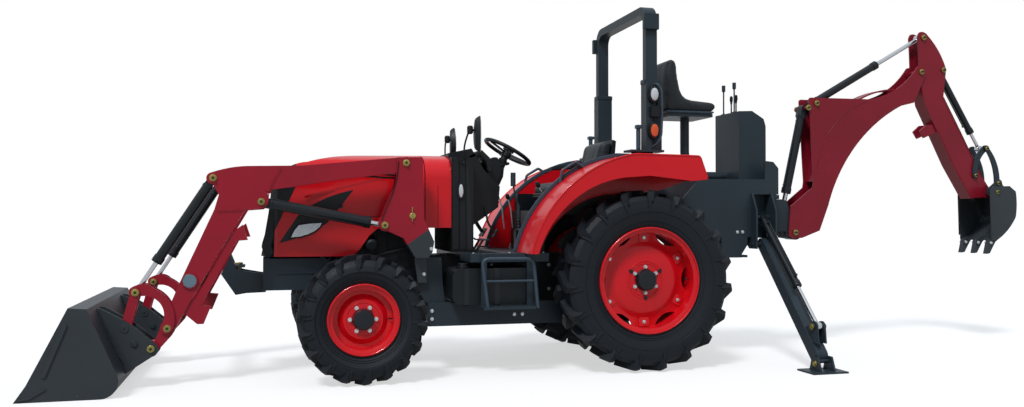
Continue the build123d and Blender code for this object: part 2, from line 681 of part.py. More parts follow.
# Loader frame: rails along the chassis and masts beside the hood.
def subframe():
    """Rail on each side, with the bracket that carries the mast and a cross tube under the case."""
    rail = block(-1527, 620, 400, 460, 330, 494)
    bracket = outline((-1560, 494), (-1600, 640), (-1560, 812), (-1430, 812), (-1420, 640), (-1400, 494))
    rail += across(bracket, 400, 425)
    rail += block(-1556, -1420, 170 + SEAT, 401, 640, 700)
    both = rail + mirrored(rail)
    return both + block(-1500, -1400, -401, 401, 340, 400) + block(480, 600, -401, 401, 360, 440)


keep("subframe", subframe())


def mast():
    """Mast: two plates beside the arm's end, joined behind it, on a foot that reaches in to the rail."""
    upper = outline(
        (-1760, 1516), (-1585, 1520), (-1570, 1087), (-1500, 931), (-1511, 859), (-1541, 817), (-1632, 818),
        (-1716, 956), (-1823, 1005), Via((-1885, 1040)), (-1865, 1100), (-1812, 1242), Via((-1775, 1330)),
        (-1765, 1409),
    )
    inner = ARM_Y - ARM_WIDE / 2 - SIDE - PLATE
    outer = ARM_Y + ARM_WIDE / 2 + SIDE
    shape = across(upper, inner, inner + PLATE) + across(upper, outer, outer + PLATE)
    shape += block(-1600, -1580, inner, outer + PLATE, 1000, 1500)
    shape += across(outline((-1632, 818), (-1541, 817), (-1511, 859), (-1560, 880)), inner, outer + PLATE)
    post = outline((-1632, 830), (-1541, 830), (-1541, 640), (-1602, 640))
    shape += across(post, 425 + SEAT, inner + 20)
    shape += pin(MAST_PIN, inner - 6, outer + PLATE + 6)
    shape += pin(LIFT_MAST_PIN, inner - 6, inner + 1, 26) + pin(
        LIFT_MAST_PIN, outer + PLATE - 1, outer + PLATE + 6, 26,
    )
    return shape


both_sides("loader_masts", mast())


# Loader arms with their cross tube.
def arm():
    """One boxed arm, bent at the knee."""
    x, z = MAST_PIN
    face = outline(
        (x + 10, z + 42), (-2391, 1451), (-2723, 1444), Via((-2858, 1432)), (-2985, 1398),
        Via((-3016, 1355)),
        (-2975, 1322), (-2937, 1250), (-2965, 1153), (-3183, 665), (-3330, 300), Via((-3393, 250)),
        (-3330, 214), (-3227, 331), (-3118, 540), (-2889, 945), (-2770, 1151), (-2655, 1160),
        Via((-2622, 1200)),
        (-2640, 1280), (-2442, 1309), (-2115, 1364), (-1774, 1405), (x - 10, z - 42), Via((x + 45, z)),
    )
    low, high = ARM_Y - ARM_WIDE / 2, ARM_Y + ARM_WIDE / 2
    shape = across(face, low, high)
    shape += pin(BUCKET_PIN, ARM_Y - 62, ARM_Y + 62, 40)
    shape -= pin(MAST_PIN, low - 1, high + 1, PIN_R + RUN)
    for place, radius, end in ((CURL_ARM_PIN, 50, CURL_ROD_PIN), (LIFT_ARM_PIN, 50, LIFT_MAST_PIN)):
        shape -= across(
            disc(place, radius) + strap(place, toward(place, end, 260), 46), ARM_Y - 22, ARM_Y + 22,
        )
        shape += pin(place, low - 6, high + 6)
    return shape


def loader_arms():
    """Both arms and the tube that joins them."""
    one = arm()
    stand = outline(
        (-2785, 1052), (-2752, 950), (-2822, 945), (-3045, 523), (-2984, 516), (-3030, 400), (-3070, 400),
        (-3160, 480),
        (-3128, 560), (-3085, 560), (-2860, 985), (-2838, 1012),
    )
    one += across(stand, ARM_Y - 20, ARM_Y + 20)
    for place in ((-3140, 520), (-2880, 1000)):
        one += across(strap(place, (place[0] - 60, place[1] + 28), 20), ARM_Y - 20, ARM_Y + 20)
    tube = pin(CROSS_TUBE, -ARM_Y - 40, ARM_Y + 40, CROSS_TUBE_R)
    bore = pin(
        BUCKET_PIN, -ARM_Y - 100, ARM_Y + 100, PIN_R + RUN,
    ) + pin(CRANK_PIN, -ARM_Y - 100, ARM_Y + 100, PIN_R + RUN)
    return one + mirrored(one) + tube - bore


keep("loader_arms", loader_arms())


def cylinder_barrel(base, tip, barrel_r, rod_r, length, eye_half, pin_r=PIN_R):
    """Barrel with its base eye, bored for the rod; base and tip are side-view places."""
    eye = across(strap(base, toward(base, tip, barrel_r + 24), barrel_r * 0.85), -eye_half, eye_half)
    tube_start = toward(base, tip, barrel_r + 22)
    tube_end = toward(base, tip, length)
    tube = bar((tube_start[0], 0, tube_start[1]), (tube_end[0], 0, tube_end[1]), barrel_r)
    bore_start = toward(base, tip, barrel_r + 30)
    bore = bar(
        (bore_start[0], 0, bore_start[1]),
        (toward(base, tip, length + 5)[0], 0, toward(base, tip, length + 5)[1]), rod_r + RUN,
    )
    return eye + tube - bore - pin(base, -200, 200, pin_r + RUN)


def cylinder_rod(base, tip, barrel_r, rod_r, inside, eye_half, pin_r=PIN_R):
    """Rod that ends in an eye at the tip, with a length of it inside the barrel."""
    start = toward(base, tip, inside)
    end = toward(base, tip, hypot(tip[0] - base[0], tip[1] - base[1]) - pin_r * 1.3)
    rod = bar((start[0], 0, start[1]), (end[0], 0, end[1]), rod_r)
    return rod + pin(tip, -eye_half, eye_half, rod_r * 1.9)


def shifted(shape, y):
    """The piece moved across the machine."""
    return Pos(0, y, 0) * shape


lift_barrel = cylinder_barrel(
    LIFT_ARM_PIN, LIFT_MAST_PIN, LIFT_BARREL_R, LIFT_ROD_R, LIFT_BARREL_LENGTH, 20,
)
lift_rod = cylinder_rod(LIFT_ARM_PIN, LIFT_MAST_PIN, LIFT_BARREL_R, LIFT_ROD_R, LIFT_ROD_IN, 24)
curl_barrel = cylinder_barrel(CURL_ARM_PIN, CURL_ROD_PIN, CURL_BARREL_R, CURL_ROD_R, CURL_BARREL_LENGTH, 20)
curl_rod = cylinder_rod(CURL_ARM_PIN, CURL_ROD_PIN, CURL_BARREL_R, CURL_ROD_R, CURL_ROD_IN, 24)
both_sides("lift_barrels", shifted(lift_barrel, ARM_Y))
both_sides("lift_rods", shifted(lift_rod, ARM_Y))
both_sides("curl_barrels", shifted(curl_barrel, ARM_Y))
both_sides("curl_rods", shifted(curl_rod, ARM_Y))


def bell_crank():
    """Curved bell crank: a plate on each side of the arm, joined by its two pins."""
    px, pz = CRANK_PIN
    tx, tz = CURL_ROD_PIN
    face = outline(
        (px + 30, pz - 18), Via((px + 42, pz + 110)), (-3330, 640), Via((-3390, 672)), (tx - 8, tz + 38),
        Via((tx - 40, tz - 5)),
        (tx + 5, tz - 32), Via((-3362, 590)), (px - 34, pz + 30), Via((px - 18, pz - 34)),
    )
    shape = across(face, ARM_Y + CRANK_LAYER, ARM_Y + CRANK_LAYER + PLATE)
    shape += across(face, ARM_Y - CRANK_LAYER - PLATE, ARM_Y - CRANK_LAYER)
    shape += pin(CRANK_PIN, ARM_Y - CRANK_LAYER - 1, ARM_Y + CRANK_LAYER + 1)
    near, far = CRANK_LAYER, LINK_LAYER + PLATE + 3
    return shape + pin(
        CURL_ROD_PIN, ARM_Y - far, ARM_Y - near,
    ) + pin(CURL_ROD_PIN, ARM_Y + near, ARM_Y + far)


def bucket_link():
    """Short straight link: a plate outside each crank plate, joined by the bucket's link pin."""
    face = strap(CURL_ROD_PIN, LINK_PIN, 28) - disc(CURL_ROD_PIN, PIN_R + RUN)
    shape = across(face, ARM_Y + LINK_LAYER, ARM_Y + LINK_LAYER + PLATE)
    shape += across(face, ARM_Y - LINK_LAYER - PLATE, ARM_Y - LINK_LAYER)
    return shape + pin(LINK_PIN, ARM_Y - LINK_LAYER - 1, ARM_Y + LINK_LAYER + 1, PIN_R + 6)


both_sides("bell_cranks", bell_crank())
both_sides("bucket_links", bucket_link())


def loader_bucket():
    """Bucket shell with side plates, cutting edge and four ears."""
    wall = LOADER_BUCKET_WALL
    outer = outline(
        (-4079, 0), (-3600, 0), Via((-3522, 40)), (-3508, 147), (-3680, 548), (-3785, 556), (-4011, 101),
    )
    inner = outline(
        (-4140, wall + 4), (-3600, wall + 4), Via((-3530, 46)), (-3518, 147), (-3686, 538), (-3900, 560),
        (-4200, 101),
    )
    half = LOADER_BUCKET_HALF
    shape = across(outer, -half, half) - across(inner, -half + wall, half - wall)
    rib = across(strap((-3800, 452), (-3915, 158), 14), -half - RIB, -half + 1)
    shape += rib + mirrored(rib)
    shape += across(outline((-4079, 0), (-3840, 0), (-3860, 14), (-4060, 14)), -half + 1, half - 1)
    shape += across(
        outline((-3785, 556), (-3680, 548), (-3672, 520), (-3690, 516), (-3696, 536), (-3780, 544)), -half,
        half,
    )
    ear = outline(
        (-3690, 530), (-3640, 520), (-3478, 426), (-3320, 290), Via((-3305, 235)), (-3340, 205),
        (-3512, 95), (-3505, 150),
    )
    for y in (EAR_LAYER, -EAR_LAYER - PLATE):
        piece = across(ear, ARM_Y + y, ARM_Y + y + PLATE)
        shape += piece + mirrored(piece)
    far = EAR_LAYER + PLATE + 4
    hinge = pin(BUCKET_PIN, ARM_Y - far, ARM_Y + far)
    hinge += pin(
        LINK_PIN, ARM_Y + EAR_LAYER, ARM_Y + far, 26,
    ) + pin(LINK_PIN, ARM_Y - far, ARM_Y - EAR_LAYER, 26)
    return shape + hinge + mirrored(hinge)


keep("loader_bucket", loader_bucket())


# Backhoe frame with its seat post.
def backhoe_frame():
    """Side plates, decks, the cross box that carries the stabilisers, and the plates of the swing post."""
    lower = outline(
        (470, 1224), (623, 1387), (1325, 1387), (1325, 1280), (1086, 1280), (1086, 941), (1048, 941), (1048, 880),
        (1000, 809), (990, 780), (822, 781), (822, 941), (640, 923),
    )
    shape = across(lower, 318, 330) + across(lower, -330, -318)
    shape += block(600, 1325, -330, 330, DECK_TOP - 12, DECK_TOP)
    shape += block(822, 1048, -330, 330, 781, 800)
    shape += block(600, 612, -330, 330, 930, 1390)
    for x in (1080, 1250):
        plate = outline(
            (-410, 850), (-410, 1150), (-340, 1290), (340, 1290), (410, 1150), (410, 850), (300, 850),
            (200, 930),
            (-200, 930), (-300, 850),
        )
        shape += along(plate, x, x + 14)
    for y in (-240, 232):
        shape += block(1092, 1252, y, y + 8, 940, 1288)
    for z, ring_r in ((941, 55), (1250, 44)):
        arm_plan = outline(
            (1262, -150), (1300, -150), (SWING_X - 95, -55), (SWING_X - 95, 55), (1300, 150), (1262, 150),
        )
        shape += upward(arm_plan, z, z + 34)
        shape += Pos(SWING_X, 0, z) * Cylinder(ring_r, 34, align=(Align.CENTER, Align.CENTER, Align.MIN))
        shape += block(SWING_X - 110, SWING_X, -ring_r, ring_r, z, z + 34)
    shape += block(1262, 1300, -150, 150, 941, 1284)
    step = outline((1205, 1399), (1205, 1548), (1280, 1541), (1325, 1490), (1325, 1399))
    shape += across(step, -330, -318) + across(step, 318, 330) + block(1311, 1325, -330, 330, 1399, 1490)
    shape += block(620 + SEAT, 720, -401, 401, 440, 470)
    shape += block(630, 720, -330, -312, 440, 950) + block(630, 720, 312, 330, 440, 950)
    for sx in (-1, 1):
        shape += bar((1076, sx * STAB_PIN[0], STAB_PIN[1]), (1268, sx * STAB_PIN[0], STAB_PIN[1]), PIN_R)
        shape += bar(
            (1076, sx * STAB_TOP_PIN[0], STAB_TOP_PIN[1]), (1268, sx * STAB_TOP_PIN[0], STAB_TOP_PIN[1]),
            PIN_R,
        )
    shape -= Pos(SWING_X, 0, 900) * Cylinder(30 + RUN, 500, align=(Align.CENTER, Align.CENTER, Align.MIN))
    return shape


def control_tower():
    """Sheet metal tower with its levers."""
    face = outline(
        (1047, DECK_TOP + SEAT), (1047, 1955), (1166, 1960), (1271, 1897), (1289, 1838),
        (1289, DECK_TOP + SEAT),
    )
    inside = outline((1051, 1395), (1051, 1951), (1165, 1956), (1268, 1894), (1285, 1836), (1285, 1395))
    shape = across(face, -200, 200) - across(inside, -196, 196)
    for x, y, top, knob in (
        (1066, -90, 2150, 15), (1066, 90, 2150, 15), (1110, -40, 2040, 9), (1110, 40, 2040, 9),
    ):
        shape += bar((x, y, 1953), (x, y, top), 6) + bar((x, y, top), (x, y, top + 50), knob)
    return shape


keep("control_tower", control_tower())


def seat_post():
    """Bent tube from the deck up to the seat's pan."""
    path = Plane.XZ * FilletPolyline((1030, 1435), (665, 1435), (665, 1905), radius=200)
    tube = sweep(Plane(origin=(1030, 0, 1435), z_dir=(-1, 0, 0)) * Circle(36), path=path)
    return tube + block(900, 1046, -120, 120, 1398, 1410) + block(440, 820, -190, 190, 1900, 1925)


keep("backhoe_frame", backhoe_frame() + seat_post())


def backhoe_seat():
    """One-piece seat with a high back, facing rearward."""
    face = outline(
        (406, 1925 + SEAT), (822, 1925 + SEAT), (849, 1946), Via((862, 1990)), (845, 2026), (560, 2030),
        Via((525, 2045)), (505, 2330), Via((480, 2362)), (420, 2350), (380, 2100),
    )
    return across(face, -215, 215)


keep("backhoe_seat", backhoe_seat())


# Backhoe linkage.
def swing_post():
    """Casting on the vertical swing pins, with the boom's pin and the boom cylinder's rod pin."""
    shape = Pos(SWING_X, 0, 978) * Cylinder(70, 269, align=(Align.CENTER, Align.CENTER, Align.MIN))
    shape += Pos(SWING_X, 0, 930) * Cylinder(30, 365, align=(Align.CENTER, Align.CENTER, Align.MIN))
    cheek = outline(
        (1470, 980), (1470, 1240), (1560, 1240), (1590, 1160), (1690, 1000), Via((1690, 930)), (1620, 915),
        (1556, 925), (1554, 980),
    )
    shape += across(cheek, -64, 64)
    shape -= across(outline((1488, 1045), (1560, 1020), (1720, 1020), (1720, 1300), (1488, 1300)), -28, 28)
    shape -= across(outline((1540, 1240), (1600, 1240), (1600, 1300), (1540, 1300)), -28, 28)
    return shape - pin(BOOM_PIN, -100, 100, PIN_R + 4 + RUN)


keep("swing_post", swing_post())


def boom():
    """Two shaped plates joined by a lower and an upper flange, open for the cylinders and the dipper."""
    plate = outline(
        (1570, 940), (1590, 1190), (1640, 1225), (1800, 1350), (1808, 1400), (1767, 2085),
        Via((1775, 2100)), (1790, 2104),
        (2338, 2108), Via((2600, 2190)), (2845, 2412), Via((2925, 2395)), (2925, 2330), (2800, 2092),
        (2674, 2062),
        Via((2232, 1722)), (1950, 1201), (1865, 985), (1700, 925), (1620, 918),
    )
    lower = outline(
        (2440, 1916), Via((2165, 1630)), (1950, 1201), (1880, 1020), (1866, 1026), (1936, 1206),
        Via((2153, 1638)), (2431, 1927),
    )
    upper = outline(
        (2640, 2208), Via((2180, 2060)), (1920, 1760), (1830, 1400), (1842, 1396), (1932, 1754),
        Via((2188, 2050)), (2646, 2196),
    )
    shape = across(plate, -BOOM_HALF, -BOOM_HALF + PLATE) + across(plate, BOOM_HALF - PLATE, BOOM_HALF)
    inside = BOOM_HALF - PLATE + 1
    shape += across(lower, -inside, inside) + across(upper, -inside, inside)
    for place in (BOOM_PIN, BOOM_BARREL_PIN, CROWD_BARREL_PIN, DIPPER_PIN):
        radius = PIN_R + 4 if place in (BOOM_PIN, DIPPER_PIN) else PIN_R
        shape += pin(place, -BOOM_HALF - 8, BOOM_HALF + 8, radius)
    return shape


keep("boom", boom())
CYLINDERS = (
    # name, base pin, rod pin, barrel radius, rod radius, barrel length, rod start, barrel eye, rod eye
    (
        "boom", BOOM_BARREL_PIN, BOOM_ROD_PIN, BOOM_BARREL_R, BOOM_ROD_R, BOOM_BARREL_LENGTH, BOOM_ROD_IN,
        40, 24,
    ),
    (
        "crowd", CROWD_BARREL_PIN, CROWD_ROD_PIN, CROWD_BARREL_R, CROWD_ROD_R, CROWD_BARREL_LENGTH,
        CROWD_ROD_IN, 40, 24,
    ),
    ("hoe", CURL2_BARREL_PIN, LEVER_TOP, HOE_BARREL_R, HOE_ROD_R, HOE_BARREL_LENGTH, HOE_ROD_IN, 24, 20),
)
for name, base, tip, barrel_r, rod_r, length, rod_in, barrel_eye, rod_eye in CYLINDERS:
    keep(name + "_barrel", cylinder_barrel(base, tip, barrel_r, rod_r, length, barrel_eye))
    keep(name + "_rod", cylinder_rod(base, tip, barrel_r, rod_r, rod_in, rod_eye))


def dipper():
    """Head plates above the pivot, and the tapered box down to the bucket."""
    head = outline(
        (2880, 2715), Via((2925, 2715)), (2960, 2690), Via((3090, 2530)), (3150, 2400), (3120, 2160),
        (2990, 2200), (2880, 2310),
        Via((2830, 2363)), (2870, 2410), Via((2866, 2540)), (2860, 2650), Via((2862, 2690)),
    )
    tube = outline(
        (2935, 2330), (3010, 2400), (3120, 2160), (3300, 1850), (3535, 1440), (3618, 1330), Via((3600, 1275)),
        (3545, 1280), (3400, 1262), (3205, 1560), (2930, 2080), (2880, 2300),
    )
    shape = across(head, -DIPPER_HALF, DIPPER_HALF) - across(
        head, -DIPPER_HALF + PLATE, DIPPER_HALF - PLATE,
    )
    shape += across(tube, -DIPPER_HALF, DIPPER_HALF)
    lug = outline((3060, 1845), (2925, 1790), (2885, 1850), (2950, 1905), (3040, 1915))
    for y in (-50, 34):
        shape += across(lug, y, y + 16)
    slot = disc(CURL2_BARREL_PIN, 60) + strap(
        CURL2_BARREL_PIN, toward(CURL2_BARREL_PIN, LEVER_TOP, 1000), 36,
    )
    shape -= across(slot, -28, 28)
    shape += pin(CURL2_BARREL_PIN, -DIPPER_HALF - 8, DIPPER_HALF + 8)
    shape += pin(
        CROWD_ROD_PIN, -DIPPER_HALF - 8, -DIPPER_HALF + 1, 26,
    ) + pin(CROWD_ROD_PIN, DIPPER_HALF - 1, DIPPER_HALF + 8, 26)
    return shape - pin(DIPPER_PIN, -100, 100, PIN_R + 4 + RUN)


keep("dipper", dipper() - pin(LEVER_PIN, -100, 100, PIN_R + RUN) - pin(HOE_PIN, -100, 100, PIN_R + RUN))


def hoe_lever():
    """Curved lever on each side of the dipper."""
    gx, gz = LEVER_PIN
    tx, tz = LEVER_TOP
    face = outline(
        (gx + 24, gz - 14), Via((gx + 40, gz + 120)), (tx + 10, tz - 24), Via((tx + 22, tz + 18)), (tx - 18, tz + 22),
        Via((gx - 10, gz + 130)), (gx - 26, gz), Via((gx - 8, gz - 26)),
    )
    shape = across(face, LEVER_IN, LEVER_IN + PLATE) + across(face, -LEVER_IN - PLATE, -LEVER_IN)
    shape += pin(LEVER_PIN, -LEVER_IN - PLATE - 4, LEVER_IN + PLATE + 4)
    far = LEVER_OUT + PLATE + 4
    return shape + pin(LEVER_TOP, -far, -LEVER_IN) + pin(LEVER_TOP, LEVER_IN, far)


def hoe_link():
    """Link from the lever's top to the bucket."""
    tx, tz = LEVER_TOP
    jx, jz = HOE_LINK_PIN
    face = outline(
        (tx - 24, tz + 4), Via((tx + 2, tz + 27)), (tx + 27, tz), Via((tx + 115, tz - 150)), (jx + 27, jz),
        Via((jx, jz - 27)), (jx - 27, jz), Via((tx + 60, tz - 150)),
    )
    face -= disc(LEVER_TOP, PIN_R + RUN) + disc(HOE_LINK_PIN, PIN_R + RUN)
    return across(face, LEVER_OUT, LEVER_OUT + PLATE), across(face, -LEVER_OUT - PLATE, -LEVER_OUT)


keep("hoe_lever", hoe_lever())
keep("hoe_link", *hoe_link())


def hoe_bucket():
    """Trenching bucket: shell, two ears and three teeth."""
    outer = outline(
        (3535, 1365), (3700, 1372), (3766, 1323), Via((3775, 1210)), (3764, 1098), Via((3680, 985)), (3558, 892),
        (3506, 892), (3493, 1340),
    )
    inner = outline(
        (3450, 1400), (3632, 1400), (3632, HOE_ROOF - 12), (3741, HOE_ROOF - 12), (3756, 1316),
        Via((3765, 1210)),
        (3754, 1103), Via((3672, 993)), (3556, 902), (3450, 880),
    )
    shape = across(outer, -HOE_HALF, HOE_HALF) - across(inner, -HOE_HALF + 8, HOE_HALF - 8)
    shape -= block(3600, 3800, -HOE_HALF + 8, HOE_HALF - 8, HOE_ROOF, 1500)
    ear = outline(
        (3535, 1360), (3540, 1300), Via((3576, 1285)), (3610, 1310), (3760, 1330), (3700, 1385), (3690, 1420),
        Via((3655, 1432)), (3625, 1410), (3545, 1350),
    )
    ear_in = LEVER_OUT + PLATE + 3
    shape += across(ear, ear_in, ear_in + PLATE) + across(ear, -ear_in - PLATE, -ear_in)
    far = ear_in + PLATE + 4
    shape += pin(HOE_PIN, -far, far) + pin(
        HOE_LINK_PIN, -far, -ear_in, 26,
    ) + pin(HOE_LINK_PIN, ear_in, far, 26)
    for y in (-150, 0, 150):
        tooth = outline((3620, 925), (3600, 935), (3500, 900), (3470, 775), (3500, 780), (3560, 880))
        shape += across(tooth, y - 24, y + 24)
    return shape


keep("hoe_bucket", hoe_bucket())


# Stabilisers, drawn in the view from behind as (y, z) on the right side.
def stabiliser_leg():
    """Box leg with its pivot eye, rod lug and foot pad."""
    leg = strap(STAB_PIN, toward(STAB_PIN, STAB_FOOT, 1060), 46)
    shape = along(leg, STAB_X - STAB_HALF, STAB_X + STAB_HALF)
    lug = outline((1000, 200), (1120, 200), (1105, 330), Via((1065, 355)), (1025, 330), (960, 300))
    shape += along(lug, STAB_X - 36, STAB_X - 24) + along(lug, STAB_X + 24, STAB_X + 36)
    shape -= along(
        strap(STAB_ROD_PIN, toward(STAB_ROD_PIN, STAB_TOP_PIN, 300), 36), STAB_X - 22, STAB_X + 22,
    )
    for x in (STAB_X - 48, STAB_X + 35):
        shape += bar((x, *STAB_ROD_PIN), (x + 13, *STAB_ROD_PIN), 24)
    shape += block(STAB_X - 140, STAB_X + 140, STAB_FOOT[0] - 105, STAB_FOOT[0] + 105, 0, 12)
    ear = outline(
        (STAB_FOOT[0] - 70, 11), (STAB_FOOT[0] + 70, 11), (STAB_FOOT[0] + 30, 110),
        (STAB_FOOT[0] - 40, 110),
    )
    shape += along(ear, STAB_X - 62, STAB_X - 48) + along(ear, STAB_X + 48, STAB_X + 62)
    shape += bar((STAB_X - 66, STAB_FOOT[0] - 15, 75), (STAB_X + 66, STAB_FOOT[0] - 15, 75), PIN_R)
    return shape - bar((STAB_X - 60, *STAB_PIN), (STAB_X + 60, *STAB_PIN), PIN_R + RUN)


def turned(shape):
    """A cylinder drawn in the side view about y = 0, turned into the rear view at the stabiliser."""
    return Pos(STAB_X, 0, 0) * Rot(0, 0, 90) * shape


stab_barrel = turned(
    cylinder_barrel(STAB_TOP_PIN, STAB_ROD_PIN, STAB_BARREL_R, STAB_ROD_R, STAB_BARREL_LENGTH, 26)
)
stab_rod = turned(cylinder_rod(STAB_TOP_PIN, STAB_ROD_PIN, STAB_BARREL_R, STAB_ROD_R, STAB_ROD_IN, 20))
for side, place in (("right", lambda shape: shape), ("left", mirrored)):
    keep("stabiliser_leg_" + side, place(stabiliser_leg()))
    keep("stabiliser_barrel_" + side, place(stab_barrel))
    keep("stabiliser_rod_" + side, place(stab_rod))

low, high = [1e9] * 3, [-1e9] * 3
for name, shape in nodes.items():
    placed = Pos(ORIGIN_X, 0, 0) * shape
    export_step(placed, "parts/" + name + ".step")
    box = placed.bounding_box()
    low = [min(low[0], box.min.X), min(low[1], box.min.Y), min(low[2], box.min.Z)]
    high = [max(high[0], box.max.X), max(high[1], box.max.Y), max(high[2], box.max.Z)]
print(len(nodes), "pieces from", [round(v, 2) for v in low], "to", [round(v, 2) for v in high])
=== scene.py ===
"""Looks of a compact tractor with a front loader and a rear backhoe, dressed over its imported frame.

Places are written in millimetres from the rear axle: x to the rear, y to the machine's right, z up from the ground.
"""
import json
import logging
import math
from collections.abc import Iterable, Sequence
from dataclasses import dataclass
from enum import Enum

import bmesh
import bpy
from mathutils import Matrix, Vector
from mathutils.bvhtree import BVHTree

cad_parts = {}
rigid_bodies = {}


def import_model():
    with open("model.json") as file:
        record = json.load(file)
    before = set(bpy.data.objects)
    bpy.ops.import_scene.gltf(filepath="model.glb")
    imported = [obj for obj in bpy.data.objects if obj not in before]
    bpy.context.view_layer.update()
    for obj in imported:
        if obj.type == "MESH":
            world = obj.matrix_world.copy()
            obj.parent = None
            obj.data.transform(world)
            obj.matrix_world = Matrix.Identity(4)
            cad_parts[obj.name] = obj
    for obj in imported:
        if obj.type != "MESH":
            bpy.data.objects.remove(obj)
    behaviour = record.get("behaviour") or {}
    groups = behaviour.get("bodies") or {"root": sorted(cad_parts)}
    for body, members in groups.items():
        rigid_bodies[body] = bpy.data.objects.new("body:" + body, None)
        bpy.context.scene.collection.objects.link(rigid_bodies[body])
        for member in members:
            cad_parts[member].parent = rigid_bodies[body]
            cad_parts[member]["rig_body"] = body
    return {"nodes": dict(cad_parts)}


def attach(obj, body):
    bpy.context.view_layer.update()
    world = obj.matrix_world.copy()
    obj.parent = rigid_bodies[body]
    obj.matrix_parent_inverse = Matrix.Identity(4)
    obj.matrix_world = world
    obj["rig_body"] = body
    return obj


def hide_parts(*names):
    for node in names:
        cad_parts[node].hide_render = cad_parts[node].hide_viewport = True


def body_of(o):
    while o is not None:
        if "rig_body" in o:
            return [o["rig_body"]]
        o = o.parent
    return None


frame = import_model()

LOG = logging.getLogger("loader_tractor")
AXLE_X = 152.0
Point = tuple[float, float, float]
Flat = tuple[float, float]
Socket = bpy.types.NodeSocket
Tree = bpy.types.NodeTree
Mesh = bpy.types.Mesh
SIDES = (("left", -1), ("right", 1))


def at(point: Sequence[float]) -> Vector:
    """Place in the frame's metres of a point in millimetres from the rear axle."""
    return Vector(((point[0] + AXLE_X) / 1000, point[1] / 1000, point[2] / 1000))


def linear(code: str) -> tuple[float, float, float, float]:
    """Linear colour of an sRGB hex value.

    Args:
        code: six hex digits.
    Returns:
        Red, green, blue and full alpha.
    """
    parts = [int(code[k:k + 2], 16) / 255 for k in (0, 2, 4)]
    return (*[p / 12.92 if p <= 0.04045 else ((p + 0.055) / 1.055) ** 2.4 for p in parts], 1.0)


def node(tree: Tree, kind: str, settings: dict | None = None, links: dict | None = None) -> bpy.types.Node:
    """Adds a node with its settings and links.

    Args:
        tree: the tree that gets the node.
        kind: the node's type.
        settings: values by the name or place of an input, or by the name of a property.
        links: sources by the name or place of an input.
    Returns:
        The new node.
    """
    made = tree.nodes.new(kind)
    for key, value in (settings or {}).items():
        if isinstance(key, str) and hasattr(made, key):
            setattr(made, key, value)
        else:
            made.inputs[key].default_value = value
    for key, source in (links or {}).items():
        tree.links.new(source, made.inputs[key])
    return made


def standing(name: str, data: bpy.types.ID) -> bpy.types.Object:
    """A new object, put in the scene."""
    made = bpy.data.objects.new(name, data)
    bpy.context.scene.collection.objects.link(made)
    return made


def evaluated(holder: bpy.types.Object) -> Mesh:
    """A plain mesh of an object with its modifiers applied."""
    return bpy.data.meshes.new_from_object(holder.evaluated_get(bpy.context.evaluated_depsgraph_get()))


def turns(count: int, first: float = 0.0) -> list[float]:
    """Angles in radians, even round a circle from a first one in degrees."""
    return [math.radians(first) + k * math.tau / count for k in range(count)]


def at_depth(line: Iterable[Flat], y: float) -> list[Point]:
    """A side-view line, put at a depth."""
    return [(x, y, z) for x, z in line]


def oval(middle: Flat, half: Flat, y: float, count: int = 40) -> list[Point]:
    """Points round an oval of the side view.

    Args:
        middle: its middle.
        half: half its length and half its height.
        y: depth that it lies at.
        count: how many points.
    Returns:
        The points.
    """
    return at_depth([(middle[0] + half[0] * math.cos(a), middle[1] + half[1] * math.sin(a)) for a in turns(count)], y)


# Finishes.
class Grain(Enum):
    """Ways in which a surface breaks up close at hand."""

    PEEL = "orange peel of sprayed paint"
    PEBBLE = "pebbled mould or leather grain"
    CAST = "rough skin of a sand casting"
    SCUFFED = "paint rubbed through to steel near the ground"
    DRAWN = "fine lines of drawn or ground metal"
    FLUTED = "prisms moulded in a lamp lens"


